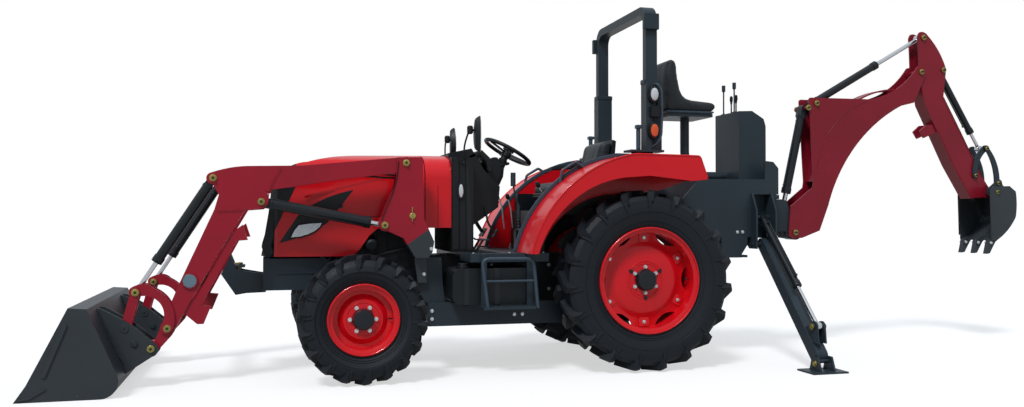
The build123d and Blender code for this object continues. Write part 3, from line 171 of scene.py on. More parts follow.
@dataclass(frozen=True)
class Finish:
    """One real surface: what it is made of and how it was made.

    The split is a lower colour and the two side-view places of the line under which it starts.
    """

    name: str
    colour: str
    shade: str
    roughness: float
    metallic: float = 0.0
    ior: float = 1.5
    coat: float = 0.0
    gleam: float = 0.28
    grain: Grain = Grain.PEEL
    grain_mm: float = 6.0
    grain_depth: float = 0.08
    cloud_mm: float = 600.0
    edge_mm: float = 3.0
    slot: str = ""
    split: tuple[str, Flat, Flat] | None = None

    def material(self) -> bpy.types.Material:
        """The finish as a node material, made once."""
        found = bpy.data.materials.get(self.name)
        if found:
            return found
        made = bpy.data.materials.new(self.name)
        made.use_nodes = True
        tree = made.node_tree
        tree.nodes.clear()
        place = node(tree, "ShaderNodeTexCoord").outputs["Object"]
        cloud = node(tree, "ShaderNodeTexNoise", {"Scale": 1000 / self.cloud_mm, "Detail": 4.0, "Roughness": 0.6},
                     {"Vector": place})
        spread = node(tree, "ShaderNodeMapRange", {1: 0.35, 2: 0.7}, {0: cloud.outputs[0]})
        colour = node(tree, "ShaderNodeMix", {"data_type": "RGBA", 6: linear(self.colour), 7: linear(self.shade)},
                      {0: spread.outputs[0]}).outputs[2]
        if self.split:
            colour = self.two_tone(tree, place, colour)
        fine = self.fine(tree, place)
        dull = node(tree, "ShaderNodeMapRange",
                    {1: 0.3, 2: 0.7, 3: self.roughness * 0.88, 4: min(self.roughness * 1.14, 1.0)}, {0: fine})
        rough = dull.outputs[0]
        steel = None
        if self.grain is Grain.SCUFFED:
            colour, rough, steel = self.scuffed(tree, place, colour, rough)
        rounded = node(tree, "ShaderNodeBevel", {"samples": 4, "Radius": self.edge_mm / 1000})
        bump = node(tree, "ShaderNodeBump", {"Strength": self.grain_depth, "Distance": self.grain_mm / 4000},
                    {"Height": fine, "Normal": rounded.outputs[0]})
        links = {"Base Color": colour, "Roughness": rough, "Normal": bump.outputs[0]}
        if steel:
            links["Metallic"] = steel
        surface = node(tree, "ShaderNodeBsdfPrincipled", {
            "Metallic": self.metallic, "IOR": self.ior, "Coat Weight": self.coat, "Coat Roughness": 0.06,
            "Specular IOR Level": 0.5 if self.metallic else self.gleam}, links)
        node(tree, "ShaderNodeOutputMaterial", {}, {0: surface.outputs[0]})
        return made

    def fine(self, tree: Tree, place: Socket) -> Socket:
        """The close pattern of the surface.

        Args:
            tree: the material's tree.
            place: coordinates in metres.
        Returns:
            Its height from 0 to 1.
        """
        scale = 1000 / self.grain_mm
        if self.grain is Grain.PEBBLE:
            cells = node(tree, "ShaderNodeTexVoronoi", {"feature": "SMOOTH_F1", "Scale": scale, "Smoothness": 0.6},
                         {"Vector": place})
            return cells.outputs["Distance"]
        if self.grain is Grain.FLUTED:
            return node(tree, "ShaderNodeTexVoronoi", {"Scale": scale}, {"Vector": place}).outputs["Distance"]
        if self.grain is Grain.DRAWN:
            place = node(tree, "ShaderNodeMapping", {"Scale": (0.08, 1.0, 1.0)}, {"Vector": place}).outputs[0]
        detail = 6.0 if self.grain is Grain.CAST else 2.0
        return node(tree, "ShaderNodeTexNoise", {"Scale": scale, "Detail": detail}, {"Vector": place}).outputs[0]

    def two_tone(self, tree: Tree, place: Socket, colour: Socket) -> Socket:
        """A second paint under the masking line.

        Args:
            tree: the material's tree.
            place: coordinates in metres.
            colour: colour above the line.
        Returns:
            Colour of the whole surface.
        """
        code, start, end = self.split
        slope = (end[1] - start[1]) / (end[0] - start[0])
        level = start[1] / 1000 - slope * (start[0] + AXLE_X) / 1000
        parts = node(tree, "ShaderNodeSeparateXYZ", {}, {0: place}).outputs
        line = node(tree, "ShaderNodeMath", {"operation": "MULTIPLY_ADD", 1: slope, 2: level}, {0: parts[0]})
        under = node(tree, "ShaderNodeMath", {"operation": "LESS_THAN"}, {0: parts[2], 1: line.outputs[0]})
        return node(tree, "ShaderNodeMix", {"data_type": "RGBA", 7: linear(code)},
                    {0: under.outputs[0], 6: colour}).outputs[2]

    def scuffed(self, tree: Tree, place: Socket, colour: Socket, rough: Socket) -> tuple[Socket, Socket, Socket]:
        """Paint rubbed off in streaks, most of all near the ground.

        Args:
            tree: the material's tree.
            place: coordinates in metres.
            colour: colour of the whole paint.
            rough: roughness of the whole paint.
        Returns:
            Colour, roughness and metalness of the worn surface.
        """
        streaks = node(tree, "ShaderNodeMapping", {"Scale": (1.0, 9.0, 1.4)}, {"Vector": place})
        worn = node(tree, "ShaderNodeTexNoise", {"Scale": 7.0, "Detail": 8.0, "Roughness": 0.75},
                    {"Vector": streaks.outputs[0]})
        height = node(tree, "ShaderNodeSeparateXYZ", {}, {0: place}).outputs[2]
        low = node(tree, "ShaderNodeMapRange", {1: 0.0, 2: 0.09, 3: 0.12, 4: -0.12}, {0: height}).outputs[0]
        both = node(tree, "ShaderNodeMath", {"operation": "ADD"}, {0: worn.outputs[0], 1: low}).outputs[0]
        bare = node(tree, "ShaderNodeMapRange", {1: 0.62, 2: 0.68}, {0: both}).outputs[0]
        mixed = node(tree, "ShaderNodeMix", {"data_type": "RGBA", 7: linear("6f7276")},
                     {0: bare, 6: colour}).outputs[2]
        shiny = node(tree, "ShaderNodeMapRange", {3: 0.0, 4: 0.85}, {0: bare}).outputs[0]
        duller = node(tree, "ShaderNodeMix", {"data_type": "FLOAT", 3: 0.34}, {0: bare, 2: rough}).outputs[0]
        return mixed, duller, shiny


# Colours are sRGB hex values: the surface and its cloudier shade, then the roughness.
# Sprayed and baked gloss enamel: deep saturated red with a slight orange peel.
RED_ENAMEL = Finish("red_gloss_enamel", "dc0c1c", "cc0a18", 0.3, coat=0.22, cloud_mm=900, slot="red_paint")
# Semi-gloss enamel on welded arms: the same family, darker and less glossy.
CRIMSON_ENAMEL = Finish("crimson_semi_gloss_enamel", "a0122a", "900f24", 0.36, coat=0.12, cloud_mm=500,
                        slot="crimson_paint")
# The loader's mast: crimson plate over a charcoal foot.
MAST_ENAMEL = Finish("crimson_enamel_over_charcoal_foot", "a0122a", "900f24", 0.36, coat=0.12, cloud_mm=500,
                     slot="crimson_paint", split=("30373d", (-1727.0, 884.0), (-1566.0, 998.0)))
# Semi-gloss enamel on the digging arm, a brownish dark red.
MAROON_ENAMEL = Finish("maroon_semi_gloss_enamel", "8a1428", "7c1122", 0.38, coat=0.1, cloud_mm=500,
                       slot="maroon_paint")
# Satin polyester powder coat: fine even texture, bluish charcoal.
CHARCOAL_POWDER = Finish("charcoal_powder_coat", "2a363f", "242f37", 0.42, grain_mm=4.0, grain_depth=0.12,
                         slot="charcoal_paint")
# Satin slate coat of tubes and trims, a little paler and bluer.
SLATE_POWDER = Finish("slate_powder_coat", "3c4c5a", "35434f", 0.4, grain_mm=4.0, grain_depth=0.12,
                      slot="charcoal_paint")
# Satin paint on digging plate, rubbed through to steel where it meets the ground.
BUCKET_PAINT = Finish("scuffed_bucket_paint", "363c41", "2e3439", 0.42, grain=Grain.SCUFFED, slot="bucket_paint")
# Sand-cast iron under a coat of dark paint.
CASTING = Finish("painted_sand_cast_iron", "1d2328", "161b20", 0.55, grain=Grain.CAST, grain_mm=9.0, grain_depth=0.35,
                 slot="cast_iron")
# Moulded natural rubber with carbon black: dull, faintly bluish.
TYRE_RUBBER = Finish("moulded_tyre_rubber", "141b22", "10161c", 0.6, grain=Grain.CAST, grain_mm=14.0, grain_depth=0.1,
                     slot="tyre_rubber")
# Injection-moulded ABS with a pebbled mould grain.
BLACK_ABS = Finish("pebbled_black_abs", "12181d", "0e1317", 0.46, grain=Grain.PEBBLE, grain_mm=4.0, grain_depth=0.15,
                   slot="black_plastic")
# Moulded vinyl over foam, leather-grained.
SEAT_VINYL = Finish("grained_black_vinyl", "23282d", "1b1f23", 0.46, grain=Grain.PEBBLE, grain_mm=5.0,
                    grain_depth=0.3, edge_mm=1.0, slot="seat_vinyl")
# Hard chrome plate, ground and polished.
HARD_CHROME = Finish("ground_hard_chrome", "d5d8dc", "c6cace", 0.16, metallic=1.0, grain=Grain.DRAWN, grain_mm=8.0,
                     grain_depth=0.02, slot="chrome_rod")
# Yellow-passivated zinc plate on turned steel pins.
YELLOW_ZINC = Finish("yellow_zinc_plate", "a99c5a", "8f8550", 0.4, metallic=0.8, grain=Grain.DRAWN, grain_mm=8.0,
                     grain_depth=0.04)
# Blue-white zinc on small bolts.
BRIGHT_ZINC = Finish("bright_zinc_plate", "d3dcdc", "bcc6c8", 0.3, metallic=0.7, grain=Grain.DRAWN, grain_mm=8.0,
                     grain_depth=0.03)
# Dark green of the grease nipples' wells in the pin heads.
GREASE_WELL = Finish("greased_steel", "1e3320", "16281a", 0.35, grain_depth=0.05)
# Painted reflection: blue-grey standing in for the sky reflected in the charcoal cover on the end of a thick tube.
TUBE_END_SKY_REFLECTION = Finish("ground_tube_end", "6d8594", "5f7686", 0.4, metallic=0.3, grain=Grain.DRAWN, grain_mm=10.0,
                      grain_depth=0.06)
# Moulded polycarbonate with prisms over a metallised bowl.
FLUTED_LENS = Finish("fluted_lamp_lens", "c3c9cf", "9fa7ae", 0.18, metallic=0.5, coat=0.8, grain=Grain.FLUTED,
                     grain_mm=16.0, grain_depth=0.6, slot="lamp_lens")
# Opal polycarbonate of the work lamps.
WHITE_LENS = Finish("white_polycarbonate", "d9dde0", "c9ced3", 0.16, coat=0.6, grain=Grain.FLUTED, grain_mm=8.0,
                    grain_depth=0.2)
# Coloured polycarbonate of the marker lamps.
AMBER_LENS = Finish("amber_polycarbonate", "e2591b", "d24e14", 0.16, ior=1.58, coat=0.5, grain=Grain.FLUTED,
                    grain_mm=8.0, grain_depth=0.2)
RED_LENS = Finish("red_polycarbonate", "cf1a16", "bd1512", 0.16, ior=1.58, coat=0.5, grain=Grain.FLUTED, grain_mm=8.0,
                  grain_depth=0.2)
# Sprayed satin black on cylinder barrels.
BLACK_PAINT = Finish("satin_black_enamel", "161d23", "12181d", 0.36, coat=0.1, slot="charcoal_paint")
# Painted shade: a near-black, almost glossless sheet that stands in for the shade inside the nose and behind the
# engine.
SHADE_STANDIN_BLACK = Finish("needled_black_felt", "0d1114", "0a0d10", 0.95, gleam=0.04, grain=Grain.CAST, grain_mm=5.0,
                    grain_depth=0.4, slot="black_plastic")
# Silvered glass of the mirrors.
SILVERED_GLASS = Finish("silvered_mirror_glass", "c4ccd3", "bac2c9", 0.05, metallic=1.0, grain_depth=0.0)
# Shadowed gaps between panels.
PANEL_GAP = Finish("dark_panel_gap", "1c0508", "160406", 0.7, grain_depth=0.0)

FINISHED_NODES: tuple[tuple[Finish, tuple[str, ...]], ...] = (
    (RED_ENAMEL, ("hood", "cowl", "fenders", "front_left_rim", "front_right_rim", "rear_left_rim", "rear_right_rim")),
    (CRIMSON_ENAMEL, ("loader_arms", "bell_cranks", "bucket_links")),
    (MAST_ENAMEL, ("loader_masts",)),
    (MAROON_ENAMEL, ("boom", "dipper")),
    (CHARCOAL_POWDER, ("front_frame", "platform", "rops", "subframe", "backhoe_frame", "control_tower", "swing_post",
                       "stabiliser_leg_left", "stabiliser_leg_right", "hoe_lever", "hoe_link")),
    (BLACK_PAINT, ("lift_barrels", "curl_barrels", "boom_barrel", "crowd_barrel", "hoe_barrel",
                   "stabiliser_barrel_left", "stabiliser_barrel_right")),
    (HARD_CHROME, ("lift_rods", "curl_rods", "boom_rod", "crowd_rod", "hoe_rod", "stabiliser_rod_left",
                   "stabiliser_rod_right")),
    (BUCKET_PAINT, ("loader_bucket", "hoe_bucket")),
    (CASTING, ("front_axle", "knuckle_left", "knuckle_right", "engine", "drive_case")),
    (TYRE_RUBBER, ("front_left_tyre", "front_right_tyre", "rear_left_tyre", "rear_right_tyre")),
    (BLACK_ABS, ("dash", "fuel_tank", "seat_deck", "grille", "mirrors", "steering_wheel", "rops_lamps")),
    (SEAT_VINYL, ("driver_seat", "backhoe_seat")),
    (FLUTED_LENS, ("headlamps",)),
)


# Meshes.
class View(Enum):
    """The drawing that a flat outline belongs to."""

    SIDE = "x and z, swept across the machine"
    REAR = "y and z, swept along the machine"
    TOP = "x and y, swept upward"

    def place(self, flat: Flat, depth: float) -> Point:
        """The point of an outline at a depth."""
        first, second = flat
        if self is View.SIDE:
            return (first, depth, second)
        return (depth, first, second) if self is View.REAR else (first, second, depth)


# A curve takes just under half of the span to the next corner.
SPAN_SHARE = 2.01
# Points closer than this, in millimetres, are one.
WELD_MM = 0.01
# The same for the frame's own solids, in metres.
WELD_M = 0.00002


def rounded_path(path: Sequence[Sequence[float]], bend: float, steps: int = 5) -> list[Vector]:
    """A path whose corners are eased.

    Args:
        path: its corners.
        bend: how far from a corner the curve starts.
        steps: points on each curve.
    Returns:
        The finer path.
    """
    corners = [Vector(p) for p in path]
    if bend <= 0 or len(corners) < 3:
        return corners
    eased = [corners[0]]
    for before, corner, after in zip(corners, corners[1:], corners[2:]):
        reach = min(bend, (before - corner).length / SPAN_SHARE, (after - corner).length / SPAN_SHARE)
        start = corner + (before - corner).normalized() * reach
        end = corner + (after - corner).normalized() * reach
        for k in range(steps + 1):
            t = k / steps
            eased.append(start * (1 - t) ** 2 + corner * 2 * t * (1 - t) + end * t ** 2)
    return eased + [corners[-1]]


class Solid:
    """A mesh under construction, in millimetres from the rear axle."""

    def __init__(self) -> None:
        """Starts empty."""
        self.mesh = bmesh.new()

    def verts(self, points: Iterable[Sequence[float]]) -> list[bmesh.types.BMVert]:
        """Adds points."""
        return [self.mesh.verts.new(point) for point in points]

    def wall(self, low: list[bmesh.types.BMVert], high: list[bmesh.types.BMVert]) -> None:
        """Joins two closed rings, either of which may be a single point."""
        count = max(len(low), len(high))
        for k in range(count):
            corners = [low[k % len(low)], low[(k + 1) % len(low)], high[(k + 1) % len(high)], high[k % len(high)]]
            self.mesh.faces.new(dict.fromkeys(corners))

    def prism(self, face: Sequence[Flat], low: float, high: float, view: View = View.SIDE) -> "Solid":
        """Adds a flat outline swept between two depths.

        Args:
            face: the outline's corners.
            low: first depth.
            high: second depth.
            view: the drawing that it belongs to.
        Returns:
            This mesh.
        """
        return self.loft(*[[view.place(flat, depth) for flat in face] for depth in (low, high)])

    def loft(self, near: Sequence[Sequence[float]], far: Sequence[Sequence[float]]) -> "Solid":
        """Adds the body between two outlines of as many corners."""
        rings = [self.verts(near), self.verts(far)]
        self.wall(*rings)
        for ring in rings:
            self.mesh.faces.new(ring)
        return self

    def box(self, low: Point, high: Point) -> "Solid":
        """Adds a box between two corners."""
        face = ((low[0], low[2]), (high[0], low[2]), (high[0], high[2]), (low[0], high[2]))
        return self.prism(face, low[1], high[1])

    def lathe(self, section: Sequence[Flat], start: Point, toward: Point, steps: int = 36) -> "Solid":
        """Adds a section turned about an axis; one that never meets the axis closes on itself as a ring.

        Args:
            section: places as (distance along the axis, radius).
            start: where the axis starts.
            toward: a point that the axis runs toward.
            steps: points round it.
        Returns:
            This mesh.
        """
        axis = (Vector(toward) - Vector(start)).normalized()
        side = axis.orthogonal().normalized()
        other = axis.cross(side)
        rings = []
        for along, radius in section:
            middle = Vector(start) + axis * along
            angles = turns(steps if radius > 0 else 1)
            rings.append(self.verts(middle + (side * math.cos(a) + other * math.sin(a)) * radius for a in angles))
        if len(rings[0]) > 1 and len(rings[-1]) > 1:
            rings.append(rings[0])
        for low, high in zip(rings, rings[1:]):
            self.wall(low, high)
        return self

    def tube(self, path: Sequence[Sequence[float]], radius: float, bend: float = 0.0, sides: int = 14,
             closed: bool = False) -> "Solid":
        """Adds a round bar along a path.

        Args:
            path: its corners.
            radius: the bar's radius.
            bend: how far from each corner the curve starts.
            sides: points round it.
            closed: whether its end joins its start.
        Returns:
            This mesh.
        """
        line = rounded_path(path, bend)
        count = len(line)
        normal = (line[1] - line[0]).orthogonal().normalized()
        rings = []
        for k, middle in enumerate(line):
            before = line[k - 1] if k or closed else middle
            after = line[(k + 1) % count] if k < count - 1 or closed else middle
            ahead = (after - before).normalized()
            normal = (normal - ahead * normal.dot(ahead)).normalized()
            other = ahead.cross(normal)
            rings.append(self.verts(middle + (normal * math.cos(a) + other * math.sin(a)) * radius
                                    for a in turns(sides)))
        for low, high in zip(rings, rings[1:] + ([rings[0]] if closed else [])):
            self.wall(low, high)
        if not closed:
            self.mesh.faces.new(rings[0])
            self.mesh.faces.new(rings[-1])
        return self

    def grown(self, mesh: Mesh, place: Matrix | None = None) -> "Solid":
        """Adds a ready mesh in millimetres, moved to its place."""
        mesh.transform(place or Matrix.Identity(4))
        self.mesh.from_mesh(mesh)
        bpy.data.meshes.remove(mesh)
        return self

    def both(self) -> "Solid":
        """Adds the same on the machine's other side."""
        made = bmesh.ops.duplicate(self.mesh,
                                   geom=self.mesh.verts[:] + self.mesh.edges[:] + self.mesh.faces[:])["geom"]
        for vert in made:
            if isinstance(vert, bmesh.types.BMVert):
                vert.co.y = -vert.co.y
        return self

    def eased(self, width: float, turn: float = 35.0) -> "Solid":
        """Rounds the edges that turn by more than an angle."""
        bmesh.ops.recalc_face_normals(self.mesh, faces=self.mesh.faces)
        sharp = [e for e in self.mesh.edges if len(e.link_faces) == 2 and e.calc_face_angle(0) > math.radians(turn)]
        bmesh.ops.bevel(self.mesh, geom=sharp, offset=width, segments=2, affect="EDGES", clamp_overlap=True)
        return self

    def data(self, name: str) -> Mesh:
        """The mesh as it is, in millimetres."""
        made = bpy.data.meshes.new(name)
        self.mesh.to_mesh(made)
        self.mesh.free()
        return made

    def piece(self, name: str, finish: Finish, body: str = "root", replaces: Sequence[str] = ()) -> bpy.types.Object:
        """Ends the mesh as a piece of the machine.

        Args:
            name: the piece's name.
            finish: its finish.
            body: the body that it rides on.
            replaces: solids that it stands for.
        Returns:
            The piece.
        """
        bmesh.ops.remove_doubles(self.mesh, verts=self.mesh.verts, dist=WELD_MM)
        bmesh.ops.recalc_face_normals(self.mesh, faces=self.mesh.faces)
        for vert in self.mesh.verts:
            vert.co = at(vert.co)
        return settle(name, self.data(name), finish, body, replaces)


def settle(name: str, mesh: Mesh, finish: Finish, body: str, replaces: Sequence[str] = (),
           crease: float = 34.0) -> bpy.types.Object:
    """Puts a mesh in metres on its body with its finish.

    Args:
        name: the piece's name.
        mesh: its mesh, in the frame's metres.
        finish: its finish.
        body: the body that it rides on.
        replaces: solids that it stands for.
        crease: turn in degrees above which an edge stays sharp.
    Returns:
        The piece.
    """
    mesh.materials.clear()
    mesh.materials.append(finish.material())
    mesh.shade_smooth()
    mesh.set_sharp_from_angle(angle=math.radians(crease))
    made = standing(name, mesh)
    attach(made, body)
    if replaces:
        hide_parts(*replaces)
    LOG.info("piece %s on %s: %d faces, %s", name, body, len(mesh.polygons), finish.name)
    return made


# Repeating parts.
class Grower:
    """The Geometry Nodes trees that repeat a part, and what turns their result into a mesh."""

    def __init__(self) -> None:
        """Builds the trees."""
        self.pins = self.pin_tree()
        self.ring = self.ring_tree()
        self.row = self.row_tree()

    @staticmethod
    def tree(name: str, inputs: Sequence[tuple[str, str, object]]) -> tuple[Tree, bpy.types.Node]:
        """Starts a tree with named inputs.

        Args:
            name: the tree's name.
            inputs: name, socket type and start value of each input.
        Returns:
            The tree and its input node.
        """
        made = bpy.data.node_groups.new(name, "GeometryNodeTree")
        made.interface.new_socket("Geometry", in_out="INPUT", socket_type="NodeSocketGeometry")
        for label, kind, value in inputs:
            socket = made.interface.new_socket(label, in_out="INPUT", socket_type=kind)
            if value is not None:
                socket.default_value = value
        made.interface.new_socket("Material", in_out="INPUT", socket_type="NodeSocketMaterial")
        made.interface.new_socket("Geometry", in_out="OUTPUT", socket_type="NodeSocketGeometry")
        return made, node(made, "NodeGroupInput")

    @staticmethod
    def end(tree: Tree, given: bpy.types.Node, instances: Socket) -> None:
        """Ends a tree: real meshes, with their material."""
        real = node(tree, "GeometryNodeRealizeInstances", {}, {0: instances})
        made = node(tree, "GeometryNodeSetMaterial", {},
                    {"Geometry": real.outputs[0], "Material": given.outputs["Material"]})
        node(tree, "NodeGroupOutput", {}, {0: made.outputs[0]})

    def pin_tree(self) -> Tree:
        """A head on a washer at each point, turned to the point's facing."""
        tree, given = self.tree("heads_at_points",
                                (("Sides", "NodeSocketInt", 6), ("Head Radius", "NodeSocketFloat", 8.0),
                                 ("Head Height", "NodeSocketFloat", 6.0), ("Washer Radius", "NodeSocketFloat", 11.0),
                                 ("Washer Height", "NodeSocketFloat", 2.0)))
        out = given.outputs
        head = node(tree, "GeometryNodeMeshCylinder", {}, {
            "Vertices": out["Sides"], "Radius": out["Head Radius"], "Depth": out["Head Height"]})
        half = node(tree, "ShaderNodeMath", {"operation": "MULTIPLY_ADD", 1: 0.5},
                    {0: out["Head Height"], 2: out["Washer Height"]})
        lift = node(tree, "ShaderNodeCombineXYZ", {}, {2: half.outputs[0]})
        head_up = node(tree, "GeometryNodeTransform", {},
                       {"Geometry": head.outputs[0], "Translation": lift.outputs[0]})
        washer = node(tree, "GeometryNodeMeshCylinder", {"Vertices": 24}, {
            "Radius": out["Washer Radius"], "Depth": out["Washer Height"]})
        low = node(tree, "ShaderNodeMath", {"operation": "MULTIPLY", 1: 0.5}, {0: out["Washer Height"]})
        low_lift = node(tree, "ShaderNodeCombineXYZ", {}, {2: low.outputs[0]})
        washer_up = node(tree, "GeometryNodeTransform", {},
                         {"Geometry": washer.outputs[0], "Translation": low_lift.outputs[0]})
        joined = node(tree, "GeometryNodeJoinGeometry")
        tree.links.new(head_up.outputs[0], joined.inputs[0])
        tree.links.new(washer_up.outputs[0], joined.inputs[0])
        facing = node(tree, "GeometryNodeInputNamedAttribute", {"data_type": "FLOAT_VECTOR", "Name": "facing"})
        turn = node(tree, "FunctionNodeAlignRotationToVector", {"axis": "Z"}, {"Vector": facing.outputs[0]})
        placed = node(tree, "GeometryNodeInstanceOnPoints", {}, {
            "Points": out["Geometry"], "Instance": joined.outputs[0], "Rotation": turn.outputs[0]})
        self.end(tree, given, placed.outputs[0])
        return tree

    def ring_tree(self) -> Tree:
        """The given part repeated round the z axis."""
        tree, given = self.tree("parts_round_axis",
                                (("Count", "NodeSocketInt", 6), ("First Turn", "NodeSocketFloat", 0.0)))
        out = given.outputs
        line = node(tree, "GeometryNodeMeshLine", {"Offset": (0.0, 0.0, 0.0)}, {"Count": out["Count"]})
        step = node(tree, "ShaderNodeMath", {"operation": "DIVIDE", 0: math.tau}, {1: out["Count"]})
        index = node(tree, "GeometryNodeInputIndex")
        angle = node(tree, "ShaderNodeMath", {"operation": "MULTIPLY_ADD"}, {
            0: index.outputs[0], 1: step.outputs[0], 2: out["First Turn"]})
        euler = node(tree, "ShaderNodeCombineXYZ", {}, {2: angle.outputs[0]})
        turn = node(tree, "FunctionNodeEulerToRotation", {}, {0: euler.outputs[0]})
        placed = node(tree, "GeometryNodeInstanceOnPoints", {}, {
            "Points": line.outputs[0], "Instance": out["Geometry"], "Rotation": turn.outputs[0]})
        self.end(tree, given, placed.outputs[0])
        return tree

    def row_tree(self) -> Tree:
        """The given part repeated along a straight line."""
        tree, given = self.tree("parts_in_row", (("Count", "NodeSocketInt", 6), ("Step", "NodeSocketVector", None)))
        out = given.outputs
        line = node(tree, "GeometryNodeMeshLine", {}, {"Count": out["Count"], "Offset": out["Step"]})
        placed = node(tree, "GeometryNodeInstanceOnPoints", {},
                      {"Points": line.outputs[0], "Instance": out["Geometry"]})
        self.end(tree, given, placed.outputs[0])
        return tree

    def grow(self, tree: Tree, base: Mesh, inputs: dict[str, object]) -> Mesh:
        """Runs a tree on a mesh.

        Args:
            tree: one of the trees.
            base: what it starts from, which is used up.
            inputs: values by the inputs' names.
        Returns:
            The result as a plain mesh.
        """
        holder = standing("growing", base)
        modifier = holder.modifiers.new("grow", "NODES")
        modifier.node_group = tree
        for item in tree.interface.items_tree:
            if item.item_type == "SOCKET" and item.in_out == "INPUT" and item.name in inputs:
                modifier[item.identifier] = inputs[item.name]
        bpy.context.view_layer.update()
        result = evaluated(holder)
        holder.modifiers.remove(modifier)
        bpy.data.objects.remove(holder)
        bpy.data.meshes.remove(base)
        result.materials.clear()
        return result

    def repeat(self, part: Solid, count: int, step: Point) -> Mesh:
        """A part repeated along a line."""
        return self.grow(self.row, part.data("part"), {"Count": count, "Step": step})

    def round(self, part: Solid, count: int, first: float = 0.0) -> Mesh:
        """A part repeated round its z axis, from a first turn in degrees."""
        return self.grow(self.ring, part.data("part"), {"Count": count, "First Turn": math.radians(first)})

    def heads(self, kind: "Head", places: Sequence[tuple[Point, Point]]) -> Mesh:
        """Heads of one kind at places.

        Args:
            kind: the head.
            places: where each stands and which way it faces.
        Returns:
            Their mesh, in millimetres.
        """
        points = bpy.data.meshes.new("points")
        points.from_pydata([place for place, facing in places], [], [])
        facings = points.attributes.new("facing", "FLOAT_VECTOR", "POINT")
        for item, (place, facing) in zip(facings.data, places):
            item.vector = facing
        sides, radius, height, washer, thick = kind.value
        return self.grow(self.pins, points,
                         {"Sides": sides, "Head Radius": radius, "Head Height": height, "Washer Radius": washer,
                          "Washer Height": thick})

    def fix(self, kind: "Head", places: Sequence[tuple[Point, Point]], name: str, finish: Finish, body: str = "root",
            turn: Matrix | None = None) -> None:
        """Adds heads of one kind as a piece.

        Args:
            kind: the head.
            places: where each stands and which way it faces.
            name: the piece's name.
            finish: its finish.
            body: the body that it rides on.
            turn: turn and shift of the places, if they aren't in the machine's axes.
        """
        Solid().grown(self.heads(kind, places), turn).piece(name, finish, body)


class Head(Enum):
    """Heads as sides, head radius, head height, washer radius and washer height, in millimetres."""

    PIN = (28, 17.0, 7.0, 24.0, 4.0)
    WELL = (20, 7.5, 12.0, 8.5, 1.0)
    SMALL_PIN = (24, 12.0, 6.0, 17.0, 3.0)
    WHEEL_NUT = (6, 11.5, 13.0, 14.0, 3.0)
    HEX_16 = (6, 10.0, 8.0, 13.0, 2.0)
    HEX_10 = (6, 7.0, 5.5, 9.0, 1.5)


# Solids carried over.
def smooth_tree() -> Tree:
    """Geometry Nodes that join loose triangles and shade round surfaces smooth up to a named angle."""
    tree = bpy.data.node_groups.new("smooth_below_angle", "GeometryNodeTree")
    tree.interface.new_socket("Geometry", in_out="INPUT", socket_type="NodeSocketGeometry")
    angle = tree.interface.new_socket("Angle", in_out="INPUT", socket_type="NodeSocketFloat")
    angle.default_value = math.radians(32)
    tree.interface.new_socket("Geometry", in_out="OUTPUT", socket_type="NodeSocketGeometry")
    given = node(tree, "NodeGroupInput")
    merged = node(tree, "GeometryNodeMergeByDistance", {"Distance": WELD_M}, {"Geometry": given.outputs[0]})
    soft = node(tree, "GeometryNodeSetShadeSmooth", {"domain": "FACE", "Shade Smooth": True},
                {"Geometry": merged.outputs[0]})
    turn = node(tree, "GeometryNodeInputMeshEdgeAngle")
    sharp = node(tree, "FunctionNodeCompare", {"data_type": "FLOAT", "operation": "GREATER_THAN"},
                 {0: turn.outputs[0], 1: given.outputs[1]})
    hard = node(tree, "GeometryNodeSetShadeSmooth", {"domain": "EDGE", "Shade Smooth": False},
                {"Geometry": soft.outputs[0], "Selection": sharp.outputs[0]})
    node(tree, "NodeGroupOutput", {}, {0: hard.outputs[0]})
    return tree


class CarriedSolids:
    """The frame's own solids, finished and shaded, unmoved."""

    def __init__(self) -> None:
        """Reads the surfaces that rays are sent at."""
        self.surfaces = {}
        for name, solid in frame["nodes"].items():
            shape = bmesh.new()
            shape.from_mesh(solid.data)
            shape.transform(solid.matrix_world)
            self.surfaces[name] = BVHTree.FromBMesh(shape)
            shape.free()

    def dress(self) -> None:
        """Gives each solid its finish and its smooth shading."""
        tree = smooth_tree()
        for finish, names in FINISHED_NODES:
            for name in names:
                solid = frame["nodes"][name]
                solid.data.materials.clear()
                solid.data.materials.append(finish.material())
                solid.modifiers.new("shade", "NODES").node_group = tree
            LOG.info("%s on %s", finish.name, ", ".join(names))

    def hit(self, start: Point, toward: Point, names: Sequence[str] = ()) -> tuple[Point, str] | None:
        """The first surface that a ray meets.

        Args:
            start: where it starts.
            toward: the way it goes.
            names: solids that count, all when empty.
        Returns:
            The place and the solid's name, or None.
        """
        best = None
        for name in names or self.surfaces:
            place, _, _, reach = self.surfaces[name].ray_cast(at(start), Vector(toward))
            if place is not None and (best is None or reach < best[0]):
                best = (reach, place, name)
        if best is None:
            return None
        place = best[1] * 1000
        return (place.x - AXLE_X, place.y, place.z), best[2]


@dataclass(frozen=True)
class Assembly:
    """A group of pieces and what it is built with."""

    grower: Grower
    solids: CarriedSolids

    def build(self) -> None:
        """Adds the pieces."""
        raise NotImplementedError


# Wheels.
HUB: Point = (0, 0, 0)
OUTWARD: Point = (0, 0, 1)


